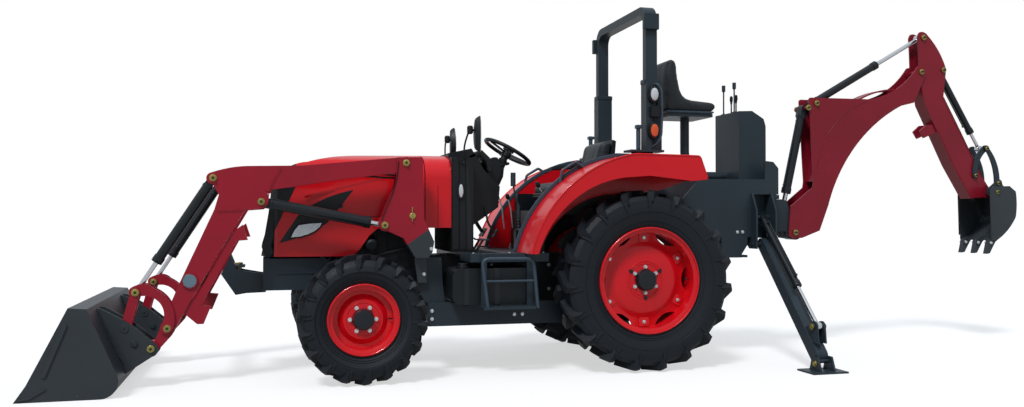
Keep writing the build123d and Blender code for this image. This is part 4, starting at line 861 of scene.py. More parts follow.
@dataclass(frozen=True)
class Wheel:
    """Trim of one wheel: worn-in marks of its tyre and the fastenings of its rim.

    Lengths lie along its own axis, outward, from the middle of the tyre.
    """

    end: str
    x: float
    y: float
    radius: float
    half: float
    rim_r: float
    disc: float
    hub_r: float
    bolt_r: float
    bolt_turn: float
    lugs: int
    lug_shift: float
    shoulder: float
    wall: float

    def place(self, sign: int) -> Matrix:
        """Turn and shift from the wheel's own axes to the machine's."""
        return Matrix(((1, 0, 0, self.x), (0, 0, sign, sign * self.y), (0, 1, 0, self.radius), (0, 0, 0, 1)))

    def build(self, grower: Grower) -> None:
        """Adds the trim of the left and right wheels."""
        for side, sign in SIDES:
            name, body = f"{self.end}_{side}", f"{self.end}_{side}_wheel"
            place = self.place(sign)
            for part, finish, solid in (
                ("tyre_walls", TYRE_RUBBER, self.tyre_marks(grower)), ("rim_rolls", RED_ENAMEL, self.rim_rolls()),
                ("hub_cap", BLACK_PAINT, self.hub_cap()), ("wheel_nuts", BRIGHT_ZINC, self.nuts(grower)),
            ):
                Solid().grown(solid.data("trim"), place).piece(f"{name}_{part}", finish, body)

    def tyre_marks(self, grower: Grower) -> Solid:
        """Bead and wall rings, and the foot of each lug running down the wall."""
        made = Solid()
        wall_low = self.rim_r + 8
        bead_out = self.half - 36
        slope = (self.half - bead_out) / (self.wall - wall_low)
        for radius, wide, proud in ((wall_low + 12, 16, 4), (wall_low + 38, 5, 2.5), (self.wall - 12, 7, 2.5)):
            out = bead_out + (radius - wall_low) * slope
            far = out + wide * slope
            for sign in (1, -1):
                section = ((out - 3, radius), (out + proud, radius + 2), (far + proud, radius + wide - 2),
                           (far - 3, radius + wide))
                made.lathe([(sign * along, r) for along, r in section], HUB, OUTWARD, 72)
        for sign, first in ((1, 180 / self.lugs), (-1, 0.0)):
            foot = Solid()
            low, high = self.wall - 14, self.shoulder
            face = ((low, self.half - 5), (low + 26, self.half + 3), (high - 34, self.half + 1),
                    (high, self.half - 12), (high - 4, self.half - 34), (low + 30, self.half - 20))
            wide = (7, 10, 15, 17, 17, 11)
            near, far = [[(r, self.lug_shift + way * w - 6 * (high - r) / (high - low), sign * out)
                          for (r, out), w in zip(face, wide)] for way in (-1, 1)]
            made.grown(grower.round(foot.loft(near, far).eased(3), self.lugs, first))
        return made

    def rim_rolls(self) -> Solid:
        """Rolled lips, a second step inside the outer lip, and the pressed steps of the disc."""
        made = Solid()
        lip = self.half - 22
        for sign in (1, -1):
            ring = [(sign * (lip + 7 * math.sin(a)), self.rim_r + 7 * math.cos(a)) for a in turns(10)]
            made.lathe(ring, HUB, OUTWARD, 72)
        step = self.rim_r - 40
        made.lathe([(lip - 26, step + 8), (lip - 14, step + 10), (lip - 10, step + 22), (lip - 20, step + 28)],
                   HUB, OUTWARD, 72)
        for radius in (self.bolt_r + 26, self.bolt_r + 42):
            if radius < (self.rim_r - 42) * 0.6:
                made.lathe([(self.disc - 3, radius - 7), (self.disc + 3, radius - 3), (self.disc + 3, radius + 3),
                            (self.disc - 3, radius + 7)], HUB, OUTWARD, 72)
        return made

    def hub_cap(self) -> Solid:
        """Black cap over the hub, and the valve's stem."""
        out, r = self.disc + 34, self.hub_r
        made = Solid().lathe([(self.disc - 2, 0), (self.disc - 2, r + 11), (self.disc + 5, r + 10),
                              (self.disc + 8, r + 7), (out + 2, r + 5), (out + 9, r), (out + 12, r - 12),
                              (out + 12, 0)], HUB, OUTWARD, 56)
        valve = self.rim_r - 62
        made.tube(((valve, 0, self.disc - 44), (valve + 4, 0, self.disc - 12), (valve + 22, 0, self.disc + 8)), 4.5,
                  8, 10)
        return made

    def nuts(self, grower: Grower) -> Solid:
        """Wheel nuts on their ring."""
        return Solid().grown(grower.heads(Head.WHEEL_NUT, ringed(self.bolt_r, self.disc - 0.5, 6, self.bolt_turn)))


def ringed(radius: float, out: float, count: int, first: float) -> list[tuple[Point, Point]]:
    """Places of heads round a wheel's axis, facing outward.

    Args:
        radius: their distance from the axis.
        out: their distance outward from the tyre's middle.
        count: how many.
        first: turn of the first in degrees.
    Returns:
        Place and facing of each.
    """
    return [((radius * math.cos(a), radius * math.sin(a), out), OUTWARD) for a in turns(count, first)]


WHEELS = (
    Wheel("rear", x=0.0, y=678.0, radius=650.0, half=172.5, rim_r=374.0, disc=60.0, hub_r=68.0, bolt_r=93.0,
          bolt_turn=30.0, lugs=19, lug_shift=58.0, shoulder=604.0, wall=498.0),
    Wheel("front", x=-2016.0, y=730.0, radius=430.0, half=120.0, rim_r=231.0, disc=50.0, hub_r=62.0, bolt_r=86.0,
          bolt_turn=0.0, lugs=18, lug_shift=40.5, shoulder=390.0, wall=320.5),
)


class RearRimBrackets(Assembly):
    """Welded lugs of the rear rims with their bolts, and the studs of the drive flange."""

    def build(self) -> None:
        """Adds them to both rear wheels."""
        for side, sign in SIDES:
            body, turn = f"rear_{side}_wheel", WHEELS[0].place(sign)
            plate = Solid().prism(((270, -30), (286, -38), (326, -40), (338, -34), (338, 34), (326, 40), (286, 38),
                                   (270, 30)), 29, 37, View.TOP).eased(2)
            Solid().grown(self.grower.round(plate, 6, 30), turn).piece(f"rear_{side}_rim_lugs", RED_ENAMEL, body)
            self.grower.fix(Head.HEX_16, ringed(304, 37, 6, 30), f"rear_{side}_lug_bolts", BRIGHT_ZINC, body, turn)
            self.grower.fix(Head.SMALL_PIN, ringed(128, 59.5, 3, 30), f"rear_{side}_flange_studs", BLACK_PAINT, body,
                            turn)


# Pins and bolts.
@dataclass(frozen=True)
class PinLine:
    """Pins that share an axis across the machine, seen from one or both of its ends."""

    x: float
    z: float
    solids: tuple[str, ...]
    starts: tuple[tuple[float, int], ...]
    head: Head = Head.PIN


# Where a ray toward the end of a pin starts across the machine, and the way it goes.
ARM_ENDS = ((-700.0, 1), (-400.0, -1), (400.0, 1), (700.0, -1))
MIDDLE_ENDS = ((-300.0, 1), (300.0, -1))
PIN_LINES = (
    PinLine(-1698, 1479, ("loader_masts",), ARM_ENDS),
    PinLine(-1845, 1046, ("loader_masts",), ARM_ENDS),
    PinLine(-2667, 1206, ("loader_arms",), ARM_ENDS),
    PinLine(-2974, 1362, ("loader_arms",), ARM_ENDS),
    PinLine(-3253, 380, ("bell_cranks",), ARM_ENDS),
    PinLine(-3445, 619, ("bell_cranks",), ARM_ENDS),
    PinLine(-3506, 391, ("bucket_links",), ARM_ENDS, Head.SMALL_PIN),
    PinLine(-3348, 257, ("loader_bucket",), ARM_ENDS),
    PinLine(1632, 970, ("boom",), MIDDLE_ENDS),
    PinLine(1757, 2018, ("boom",), MIDDLE_ENDS),
    PinLine(1838, 2058, ("boom",), MIDDLE_ENDS),
    PinLine(2877, 2363, ("boom",), MIDDLE_ENDS),
    PinLine(2913, 2668, ("dipper",), MIDDLE_ENDS),
    PinLine(3119, 2392, ("dipper",), MIDDLE_ENDS),
    PinLine(3440, 1467, ("hoe_lever",), MIDDLE_ENDS, Head.SMALL_PIN),
    PinLine(3545, 1708, ("hoe_lever",), MIDDLE_ENDS, Head.SMALL_PIN),
    PinLine(3655, 1399, ("hoe_bucket",), MIDDLE_ENDS, Head.SMALL_PIN),
    PinLine(3576, 1318, ("hoe_bucket",), MIDDLE_ENDS, Head.SMALL_PIN),
)


class PinHeads(Assembly):
    """Plated heads with greased wells, on the ends of the pins of both linkages."""

    def build(self) -> None:
        """Finds each pin's ends and adds their heads, one mesh per body."""
        found: dict[tuple[str, Head], list[tuple[Point, Point]]] = {}
        for line in PIN_LINES:
            for start, way in line.starts:
                hit = self.solids.hit((line.x, start, line.z), (0, way, 0), line.solids)
                if hit is None:
                    continue
                place, name = hit
                body = body_of(frame["nodes"][name])[0]
                end = (line.x, place[1] + way * 0.5, line.z)
                found.setdefault((body, line.head), []).append((end, (0, -way, 0)))
        for (body, head), places in found.items():
            name = f"{body}_{head.name.lower()}_heads"
            self.grower.fix(head, places, name, YELLOW_ZINC, body)
            proud = head.value[2] + head.value[4] - 0.2
            wells = [((x, y + facing[1] * proud, z), facing) for (x, y, z), facing in places]
            self.grower.fix(Head.WELL, wells, f"{name}_wells", GREASE_WELL, body)


@dataclass(frozen=True)
class BoltGroup:
    """Bolts of one kind that a ray puts on the surface of a solid.

    Each place is given without its coordinate along the ray.
    """

    name: str
    solid: str
    head: Head
    way: Point
    start: float
    places: tuple[Flat, ...]
    mirrored: bool = True
    finish: Finish = BRIGHT_ZINC


NEAR, ABOVE, BEHIND = (0, 1, 0), (0, 0, -1), (-1, 0, 0)
BOLT_GROUPS = (
    BoltGroup("rail", "subframe", Head.HEX_16, NEAR, -520,
              ((-1502, 439), (-1502, 382), (-900, 400), (-840, 400), (300, 400), (360, 400))),
    BoltGroup("mast_foot", "loader_masts", Head.HEX_16, NEAR, -620,
              ((-1620, 700), (-1560, 700), (-1520, 880), (-1520, 820))),
    BoltGroup("front_frame_side", "front_frame", Head.HEX_16, NEAR, -400,
              ((-2520, 560), (-2440, 560), (-2300, 620), (-1780, 560), (-1700, 560), (-1640, 640))),
    BoltGroup("backhoe_frame_side", "backhoe_frame", Head.HEX_16, NEAR, -600,
              ((960, 982), (1005, 982), (520, 640), (580, 640), (640, 640), (1380, 940), (1440, 940))),
    BoltGroup("tower_cover", "control_tower", Head.HEX_10, BEHIND, 1500,
              ((-160, 1460), (160, 1460), (-160, 1900), (160, 1900), (-160, 1680), (160, 1680)), False),
    BoltGroup("engine_side", "engine", Head.HEX_16, NEAR, -300,
              ((-2120, 700), (-2120, 860), (-2120, 1020), (-1600, 700), (-1600, 860), (-1600, 1020), (-1860, 700),
               (-1860, 1360))),
    BoltGroup("drive_case_side", "drive_case", Head.HEX_16, NEAR, -600,
              ((-1500, 560), (-1500, 700), (-1000, 560), (-1000, 740), (-560, 560), (-560, 740))),
    BoltGroup("platform_rim", "platform", Head.HEX_10, ABOVE, 1000, ((-1240, -620), (-980, -620), (-730, -620))),
    BoltGroup("tower_lid", "control_tower", Head.HEX_10, ABOVE, 2300, ((1220, -150), (1220, 0), (1220, 150)), False),
    BoltGroup("bucket_edge", "loader_bucket", Head.HEX_16, ABOVE, 400,
              tuple((-3960.0, -760.0 + 190 * k) for k in range(9)), False, CASTING),
)


class Bolts(Assembly):
    """Bolts that hold the machine's plates."""

    def build(self) -> None:
        """Adds each group as one mesh."""
        for group in BOLT_GROUPS:
            found = []
            for first, second in group.places:
                if group.way[1]:
                    start = (first, group.start, second)
                elif group.way[2]:
                    start = (first, second, group.start)
                else:
                    start = (group.start, first, second)
                hit = self.solids.hit(start, group.way, (group.solid,))
                if hit:
                    x, y, z = hit[0]
                    fx, fy, fz = [-v for v in group.way]
                    found.append(((x, y, z), (fx, fy, fz)))
                    if group.mirrored:
                        found.append(((x, -y, z), (fx, -fy, fz)))
            if found:
                body = body_of(frame["nodes"][group.solid])[0]
                self.grower.fix(group.head, found, f"{group.name}_bolts", group.finish, body)


# Cylinders.
@dataclass(frozen=True)
class Cylinder:
    """Gland, base collar, ports and feed pipe of one hydraulic barrel."""

    name: str
    body: str
    base: Point
    tip: Point
    length: float
    radius: float
    port_side: Point
    mirrored: bool = False

    def build(self) -> None:
        """Adds them to the barrel's body."""
        base, axis = Vector(self.base), (Vector(self.tip) - Vector(self.base)).normalized()
        side = (Vector(self.port_side) - axis * axis.dot(Vector(self.port_side))).normalized()
        end, r = self.length, self.radius
        made = Solid()
        made.lathe([(end - 46, r - 1), (end - 44, r + 4), (end - 12, r + 5), (end - 8, r + 2), (end - 6, r + 5),
                    (end + 1, r + 4), (end + 3, r - 4), (end - 4, r - 8)], self.base, self.tip, 40)
        made.lathe([(60, r - 1), (62, r + 3), (74, r + 3), (77, r - 1)], self.base, self.tip, 40)
        ports = []
        for along in (100.0, end - 74):
            foot = base + axis * along
            ports.append(foot + side * (r + 17))
            made.lathe([(r - 4, 0), (r - 4, 14), (r + 10, 13), (r + 11, 10), (r + 24, 10), (r + 25, 0)], foot,
                       foot + side, 16)
        lift = side * (r + 17)
        start, stop = base + axis * (end - 74) + lift, base + axis * 140 + lift
        pipe = Solid().tube((start + axis * 2, start - axis * 30, stop, stop - axis * 26 + side * 2), 6.5, 12, 12)
        for solid, part in ((made, "glands_and_ports"), (pipe, "feed_pipes")):
            if self.mirrored:
                solid.both()
            solid.piece(f"{self.name}_{part}", BLACK_PAINT, self.body)


# Name, body, foot of the barrel, its rod's far end, length, radius, the ports' side, and whether it has a twin.
CYLINDERS = (
    Cylinder("lift", "lift_barrel_pair", (-2667, -490, 1206), (-1845, -490, 1046), 740, 37, (0, 1, -0.4), True),
    Cylinder("curl", "curl_barrel_pair", (-2974, -490, 1362), (-3445, -490, 619), 655, 32, (0, 1, 0), True),
    Cylinder("boom", "boom_barrel_body", (1757, 0, 2018), (1556, 0, 1140), 735, 36, (0, 1, 0)),
    Cylinder("crowd", "crowd_barrel_body", (1838, 0, 2058), (2913, 0, 2668), 735, 32, (0, 1, 0)),
    Cylinder("hoe", "hoe_barrel_body", (3119, 0, 2392), (3545, 0, 1708), 640, 28, (0, 1, 0)),
    Cylinder("stabiliser_left", "stabiliser_left_barrel_body", (1195, -300, 1100), (1195, -1062, 317), 720, 30,
             (0, -1, 1)),
    Cylinder("stabiliser_right", "stabiliser_right_barrel_body", (1195, 300, 1100), (1195, 1062, 317), 720, 30,
             (0, 1, 1)),
)


# Front end. Depths of a seam let into the flank of the hood and the cowl.
SEAM = (-331.2, -328)


def arc(start: Flat, middle: Flat, end: Flat, steps: int = 14) -> list[Flat]:
    """Points on the circle through three places.

    Args:
        start: first place.
        middle: a place between.
        end: last place.
        steps: how many spans.
    Returns:
        The points from start to end.
    """
    (ax, ay), (bx, by), (cx, cy) = start, middle, end
    twice = 2 * (ax * (by - cy) + bx * (cy - ay) + cx * (ay - by))
    a2, b2, c2 = ax * ax + ay * ay, bx * bx + by * by, cx * cx + cy * cy
    ox = (a2 * (by - cy) + b2 * (cy - ay) + c2 * (ay - by)) / twice
    oy = (a2 * (cx - bx) + b2 * (ax - cx) + c2 * (bx - ax)) / twice
    radius = math.hypot(ax - ox, ay - oy)
    first, through, last = [math.atan2(y - oy, x - ox) for x, y in (start, middle, end)]
    forward = (through - first) % math.tau < (last - first) % math.tau
    turn = (last - first) % math.tau if forward else -((first - last) % math.tau)
    return [(ox + radius * math.cos(first + turn * k / steps), oy + radius * math.sin(first + turn * k / steps))
            for k in range(steps + 1)]


def band(line: Sequence[Flat], low: float, high: float) -> list[Flat]:
    """A strip beside a line.

    Args:
        line: its points.
        low: distance of its first edge, to the line's left.
        high: distance of its second edge.
    Returns:
        Its outline.
    """
    edges: list[list[Flat]] = [[], []]
    for k, (x, y) in enumerate(line):
        before, after = line[max(k - 1, 0)], line[min(k + 1, len(line) - 1)]
        dx, dy = after[0] - before[0], after[1] - before[1]
        size = math.hypot(dx, dy)
        for edge, off in zip(edges, (low, high)):
            edge.append((x - dy / size * off, y + dx / size * off))
    return edges[0] + edges[1][::-1]


class FrontEnd(Assembly):
    """Hood pressings and seams, grille ribs, lamp bezels, tow pin and the engine's outside parts."""

    def build(self) -> None:
        """Adds them."""
        self.hood()
        self.grille()
        self.lamps()
        self.tow()
        self.engine()

    def hood(self) -> None:
        """Pressed creases along both flanks and the seams of the side panels."""
        line = [(-2378, 1248), (-2060, 1330), (-1752, 1402)]
        face = band(line, -16, 3)
        outer = [(x, -329.5 if k < len(line) else -334.0, z) for k, (x, z) in enumerate(face)]
        crease = Solid().loft(at_depth(face, -326.0), outer)
        crease.both().piece("hood_creases", RED_ENAMEL, "hood_body")
        seam = Solid().prism(band([(-1742, 1300), (-1712, 1120)], -1.6, 1.6), *SEAM)
        seam.prism(((-2010, 1098), (-1716, 1116), (-1716, 1119.5), (-2010, 1101.5)), *SEAM)
        seam.both().piece("hood_seams", PANEL_GAP, "hood_body")
        fixed = Solid().prism(((-1438.6, 1032), (-1435.4, 1032), (-1435.4, 1330), (-1438.6, 1330)), *SEAM)
        fixed.both().piece("side_panel_seams", PANEL_GAP)
        latch = Solid()
        for x, z in ((-2130, 1180), (-1800, 1210)):
            latch.lathe([(0, 0), (0, 16), (3, 16), (4, 13), (3.4, 12), (3.4, 4), (5, 3.4), (5, 0)], (x, -329.5, z),
                        (x, -400, z), 28)
        latch.both().piece("hood_latches", BLACK_ABS, "hood_body")

    def grille(self) -> None:
        """Ribs across the front, the rim of each side, and a near-black screen of painted shade behind them."""
        line = [(-2580, 1302), (-2620, 1135), (-2648, 968), (-2669, 897)]
        made = Solid()
        for (x0, z0), (x1, z1), count in ((line[0], line[1], 6), (line[1], line[2], 6)):
            rib = Solid().prism(((x0 + 8, z0 - 3), (x0 + 27, z0 - 9), (x0 + 27, z0 - 21), (x0 + 8, z0 - 17)), -232,
                                232).eased(2)
            made.grown(self.grower.repeat(rib, count, ((x1 - x0) / count, 0, (z1 - z0) / count)))
        made.piece("grille_ribs", BLACK_ABS, "hood_body")
        edge = band([(-2570, 1304), (-2612, 1137), (-2640, 968), (-2661, 897), (-2632, 826)], -6, 60)
        rim = Solid().prism(edge, -264, -236).eased(5)
        rim.both().piece("grille_edges", BLACK_ABS, "hood_body")
        # Painted shade: a near-black sheet where the inside of the nose lies in shade.
        screen = Solid().prism(band(line, 26.0, 34.0), -240, 240)
        screen.piece("grille_screen", SHADE_STANDIN_BLACK, "hood_body")

    def lamps(self) -> None:
        """Curved lenses, the bezels round them and the ribs that divide them."""
        lens = ((-2474, 957), (-2451, 1009), (-2418, 1049), (-2349, 1060), (-2252, 1066), (-2268, 1032),
                (-2303, 1002), (-2350, 979), (-2406, 962))
        crown = [(-2360 + (x + 2360) * 0.94, 1010 + (z - 1010) * 0.92) for x, z in lens]
        glass = Solid().loft(at_depth(lens, -318), at_depth(crown, -325))
        glass.both().piece("lamp_lenses", FLUTED_LENS, "hood_body")
        bezel = Solid().tube(at_depth(lens, -321), 6.5, 0, 12, True)
        bezel.both().piece("lamp_bezels", BLACK_ABS, "hood_body")
        rib = Solid()
        for line in (((-2420, 966), (-2390, 1050)), ((-2350, 982), (-2320, 1058))):
            rib.tube(at_depth(line, -324.5), 2.5, 0, 8)
        rib.both().piece("lamp_dividers", BRIGHT_ZINC, "hood_body")

    def tow(self) -> None:
        """Pin of the front towing eye, with its handle, and the ledges of the frame behind it."""
        made = Solid().lathe([(0, 0), (0, 13), (50, 13), (52, 20), (60, 20), (63, 0)], (-2815, 0, 716),
                             (-2815, 0, 900), 28)
        made.tube(((-2905, 0, 772), (-2800, 0, 770), (-2800, 0, 755)), 5, 8, 12)
        made.piece("tow_pin", YELLOW_ZINC)
        ledge = Solid().prism(((-2560, 704), (-1900, 704), (-1900, 716), (-2560, 716)), -257, -250)
        ledge.both().piece("front_frame_ledges", CHARCOAL_POWDER)

    def engine(self) -> None:
        """Pipes, oil filters and pulley of the engine, and the ribs on its sides."""
        pipes = Solid()
        for path, radius in (
            (((-2150, -212, 1290), (-2230, -236, 1290), (-2300, -236, 1180), (-2360, -200, 1120)), 17),
            (((-2120, -214, 770), (-2180, -240, 770), (-2270, -240, 840), (-2380, -200, 860)), 15),
            (((-1700, -212, 1330), (-1700, -244, 1290), (-1850, -244, 1240), (-2080, -214, 1240)), 9),
            (((-1620, -214, 900), (-1640, -250, 880), (-1900, -250, 820), (-2060, -214, 820)), 8),
        ):
            pipes.tube(path, radius, 40, 16)
        pipes.piece("engine_pipes", BLACK_PAINT)
        shade = Solid().lathe([(0, 0), (0, 38), (8, 46), (22, 46), (26, 42), (118, 42), (132, 30), (132, 0)],
                              (-1910, -203, 930), (-1910, -330, 900), 36)
        shade.lathe([(0, 0), (0, 70), (10, 78), (20, 70), (30, 78), (40, 78), (46, 60), (46, 0)], (-2160, -120, 800),
                    (-2300, -120, 800), 40)
        shade.lathe([(0, 0), (0, 52), (90, 52), (96, 46), (96, 0)], (-2020, -203, 1110), (-2020, -330, 1110), 36)
        shade.piece("engine_filters_and_pulley", CASTING)
        rib = Solid().box((-2100, -213, 700), (-2086, -204, 1340)).eased(2)
        ribs = Solid().grown(self.grower.repeat(rib, 7, (78.0, 0, 0)))
        ribs.both().piece("engine_ribs", CASTING)


# Driver's place.
class Controls(Assembly):
    """Dash trim, column, pedals, levers, loader stick, steps, rails and mirrors."""

    def build(self) -> None:
        """Adds them."""
        self.dash()
        self.column()
        self.pedals()
        self.levers()
        self.stick()
        self.steps()
        self.mirrors()

    def dash(self) -> None:
        """Black pillars beside the cowl with their marker lamps, a sheet of painted shade behind the engine, and the
        instruments.
        """
        pillar = Solid().prism(((-1334, 862), (-1284, 862), (-1284, 1530), (-1322, 1536), (-1334, 1500)), -349,
                               -338).eased(3)
        pillar.prism(((-1278, 862), (-1230, 862), (-1236, 1180), (-1240, 1534), (-1278, 1538)), -346, -338).eased(3)
        pillar.both().piece("dash_pillars", BLACK_ABS)
        strip = Solid().prism(((-1224, 862), (-1182, 862), (-1190, 1180), (-1214, 1500), (-1236, 1534)), -344,
                              -338).eased(2)
        strip.both().piece("dash_side_strips", BLACK_PAINT)
        housing = Solid().prism(((-1292, 1230), (-1254, 1230), (-1246, 1250), (-1246, 1330), (-1254, 1350),
                                 (-1292, 1350), (-1300, 1330), (-1300, 1250)), -362, -346).eased(6)
        housing.both().piece("marker_housings", BLACK_ABS)
        # Painted shade: a near-black sheet across the dark gap behind the engine.
        shade_sheet = Solid().box((-1343, -330, 850), (-1339, 330, 1020))
        shade_sheet.piece("bulkhead_felt", SHADE_STANDIN_BLACK)
        rings = [oval((-1273, 1290), (17 * size, 50 * size), y, 32)
                 for size, y in ((1.0, -361.0), (0.96, -368.0), (0.72, -373.0))]
        lamp = Solid().loft(rings[0], rings[1]).loft(rings[1], rings[2])
        lamp.both().piece("marker_lenses", WHITE_LENS)
        panel = Solid().prism(((-1180, 1560), (-1080, 1606), (-1010, 1540), (-1000, 1440), (-1030, 1440),
                               (-1050, 1520), (-1092, 1566), (-1180, 1530)), -190, 190).eased(5)
        panel.piece("instrument_hood", BLACK_ABS)
        dials = Solid()
        for y, r in ((-70, 44), (50, 52), (128, 24)):
            dials.lathe([(0, 0), (0, r + 5), (8, r + 5), (9, r), (4, r - 3), (4, 0)], (-1046, y, 1512),
                        (-990, y, 1560), 40)
        dials.piece("dials", BLACK_PAINT)

    def column(self) -> None:
        """Shroud and sleeve of the steering column, its stalk, and the wheel's middle."""
        hub = (-830, 0, 1605)
        shroud = Solid().prism(((-1176, 1290), (-1000, 1210), (-930, 1300), (-878, 1410), (-868, 1500), (-892, 1556),
                                (-950, 1560), (-1040, 1520), (-1120, 1440)), -78, 78).eased(30)
        shroud.piece("column_shroud", BLACK_ABS)
        sleeve = Solid().lathe([(0, 0), (0, 34), (60, 30), (150, 27), (158, 0)], (-912, 0, 1460), hub, 32)
        sleeve.piece("column_sleeve", BLACK_ABS)
        stalk = Solid().tube(((-902, -20, 1476), (-900, -90, 1490), (-884, -178, 1500)), 4.5, 20, 10)
        stalk.lathe([(0, 0), (0, 8), (6, 10), (34, 11), (40, 7), (41, 0)], (-886, -170, 1499), (-876, -214, 1505), 20)
        stalk.piece("column_stalk", BLACK_ABS)
        cap = Solid().lathe([(8, 0), (8, 46), (22, 45), (29, 38), (32, 22), (32, 0)], hub, (-655, 0, 1921), 40)
        cap.piece("steering_wheel_cap", BLACK_ABS, "steering_wheel_body")

    def pedals(self) -> None:
        """Clutch on the left, two brakes and the drive pedal on the right, ribbed."""
        pads = Solid()
        arms = Solid()
        for y in (-215, 150, 222):
            pads.prism(((-1006, 952), (-968, 1014), (-961, 1010), (-999, 948)), y - 30, y + 30).eased(2.5)
            arms.tube(((-1060, y, 1180), (-1040, y, 1060), (-990, y, 985)), 8, 30, 10)
        for y in (-215, 150, 222):
            rib = Solid().prism(((-999, 950), (-996, 948), (-991, 956), (-994, 958)), y - 26, y + 26)
            pads.grown(self.grower.repeat(rib, 4, (8.2, 0, 13.4)))
        pads.prism(((-1010, 862), (-900, 858), (-898, 866), (-1008, 872)), 236, 300).eased(2.5)
        pads.piece("pedal_pads", BLACK_ABS)
        arms.piece("pedal_arms", BLACK_PAINT)
        tread = Solid().box((-1234, -600, 847.5), (-1226, 600, 851)).eased(1)
        mat = Solid().grown(self.grower.repeat(tread, 8, (26.0, 0, 0)))
        mat.piece("floor_ribs", BLACK_ABS)

    def levers(self) -> None:
        """Boots, rods and knobs of the gear and range levers."""
        boots = Solid().box((-856, -338, 850), (-790, -274, 1004)).eased(6)
        for foot, toward, height, radius in (((-824, -305, 1000), (-838, -305, 1200), 130, 24),
                                             ((-600, -300, 1150), (-640, -300, 1300), 60, 24)):
            section: list[Flat] = [(0, 0), (0, radius + 6), (6, radius + 4)]
            for k in range(6):
                section += [(height * (k + 0.6) / 6, radius - 2.4 * k),
                            (height * (k + 0.9) / 6, radius - 4 - 2.4 * k)]
            boots.lathe(section + [(height, 9), (height + 4, 0)], foot, toward, 28)
        boots.piece("lever_boots", BLACK_ABS)
        rods = Solid()
        knobs = Solid()
        for path, size in ((((-600, -300, 1160), (-622, -300, 1250), (-668, -300, 1330)), 1.0),
                           (((-770, 330, 1000), (-790, 330, 1180), (-830, 330, 1300)), 1.0),
                           (((-700, 330, 1010), (-715, 330, 1160), (-740, 330, 1250)), 1.0)):
            rods.tube(path, 5.5, 30, 10)
            end = Vector(path[-1])
            way = (end - Vector(path[-2])).normalized()
            knobs.lathe([(0, 0), (0, 8), (8, 15 * size), (24, 18 * size), (40, 15 * size), (48, 6), (49, 0)],
                        end - way * 8, end + way, 24)
        rods.piece("lever_rods", BRIGHT_ZINC)
        knobs.piece("lever_knobs", BLACK_ABS)

    def stick(self) -> None:
        """Loader stick on its pod at the driver's right hand."""
        pod = Solid().prism(((-452, 1062), (-300, 1062), (-292, 1180), (-330, 1216), (-440, 1190)), 290,
                            372).eased(10)
        pod.piece("stick_pod", BLACK_ABS)
        section: list[Flat] = [(0, 0), (0, 36)]
        for k in range(4):
            section += [(8 + 14 * k, 34 - 5 * k), (15 + 14 * k, 26 - 4 * k)]
        grip = Solid().lathe(section + [(66, 9), (68, 0)], (-392, 330, 1196), (-404, 330, 1300), 28)
        grip.tube(((-396, 330, 1230), (-402, 330, 1268), (-424, 330, 1300)), 7, 10, 10)
        grip.lathe([(0, 0), (0, 12), (10, 17), (46, 20), (64, 19), (74, 12), (76, 0)], (-418, 330, 1272),
                   (-446, 330, 1350), 24)
        grip.piece("loader_stick", BLACK_ABS)
        rest = Solid().prism(((-330, 1296), (-296, 1318), (-250, 1300), (-262, 1284)), 296, 366).eased(6)
        rest.tube(((-300, 330, 1200), (-300, 330, 1300)), 9, 0, 12)
        rest.piece("wrist_rest", SEAT_VINYL)

    def steps(self) -> None:
        """Round-bar hangers of both steps, their treads' teeth, and rails on the fenders."""
        bars = Solid().tube(((-1163, -742, 470), (-1205, -742, 815), (-838, -742, 812), (-806, -742, 470)), 13, 55,
                            16)
        bars.tube(((-1190, -735, 660), (-826, -735, 660)), 9, 0, 12)
        bars.both().piece("step_hangers", SLATE_POWDER)
        rail = Solid().tube(((-560, -480, 1356), (-540, -480, 1445), (-440, -480, 1505), (-372, -480, 1464),
                             (-364, -480, 1440)), 10.5, 14, 16)
        rail.both().piece("fender_rails", SLATE_POWDER)

    def mirrors(self) -> None:
        """Folding mirrors: shell, glass, ball clamp and stalk."""
        shell = Solid()
        rim = [(-482, 1560), (-496, 1600), (-500, 1690), (-494, 1780), (-474, 1836), (-440, 1812), (-402, 1752),
               (-388, 1686), (-404, 1620), (-440, 1572)]
        shell.loft([(-1156, y, z) for y, z in rim],
                   [(-1194, -444 + (y + 444) * 0.72, 1694 + (z - 1694) * 0.82) for y, z in rim]).eased(6)
        shell.lathe([(-30, 0), (-30, 15), (-20, 22), (20, 22), (30, 15), (30, 0)], (-1222, -432, 1728),
                    (-1222, -432, 1800), 24)
        shell.tube(((-1186, -432, 1726), (-1216, -432, 1726)), 9, 0, 12)
        shell.tube(((-1250, -346, 1495), (-1252, -372, 1620), (-1240, -424, 1690), (-1222, -432, 1740)), 6.5, 50, 14)
        shell.lathe([(0, 0), (0, 22), (8, 22), (12, 14), (30, 13), (32, 0)], (-1250, -342, 1488), (-1250, -352, 1540),
                    24)
        shell.both().piece("mirror_shells", BLACK_ABS, replaces=("mirrors",))
        glass = Solid()
        edge = [(-444 + (y + 444) * 0.9, 1694 + (z - 1694) * 0.93) for y, z in rim]
        glass.loft([(-1158, y, z) for y, z in edge], [(-1153.5, y, z) for y, z in edge])
        glass.both().piece("mirror_glass", SILVERED_GLASS)


# Fenders and roll bar.
class Fenders(Assembly):
    """Slate edge strips, rolled outer lips and rear lamps."""

    def build(self) -> None:
        """Adds them."""
        front = arc((-880, 848), (-655, 1265), (-110, 1548))
        strip = Solid().prism(band(front + [(130, 1545)], 1.0, 30.0), -464, -446).eased(3)
        strip.both().piece("fender_strips", SLATE_POWDER)
        lip = Solid().tube(at_depth(front + [(382, 1540), (440, 1380)], -843), 7, 20, 12)
        lip.both().piece("fender_lips", RED_ENAMEL)
        lamp = Solid().prism(((-700, 1430), (-560, 1430), (-552, 1440), (-552, 1492), (-560, 1502), (-700, 1502),
                              (-708, 1492), (-708, 1440)), 436, 452, View.REAR).eased(5)
        lamp.both().piece("tail_lamps", RED_LENS)


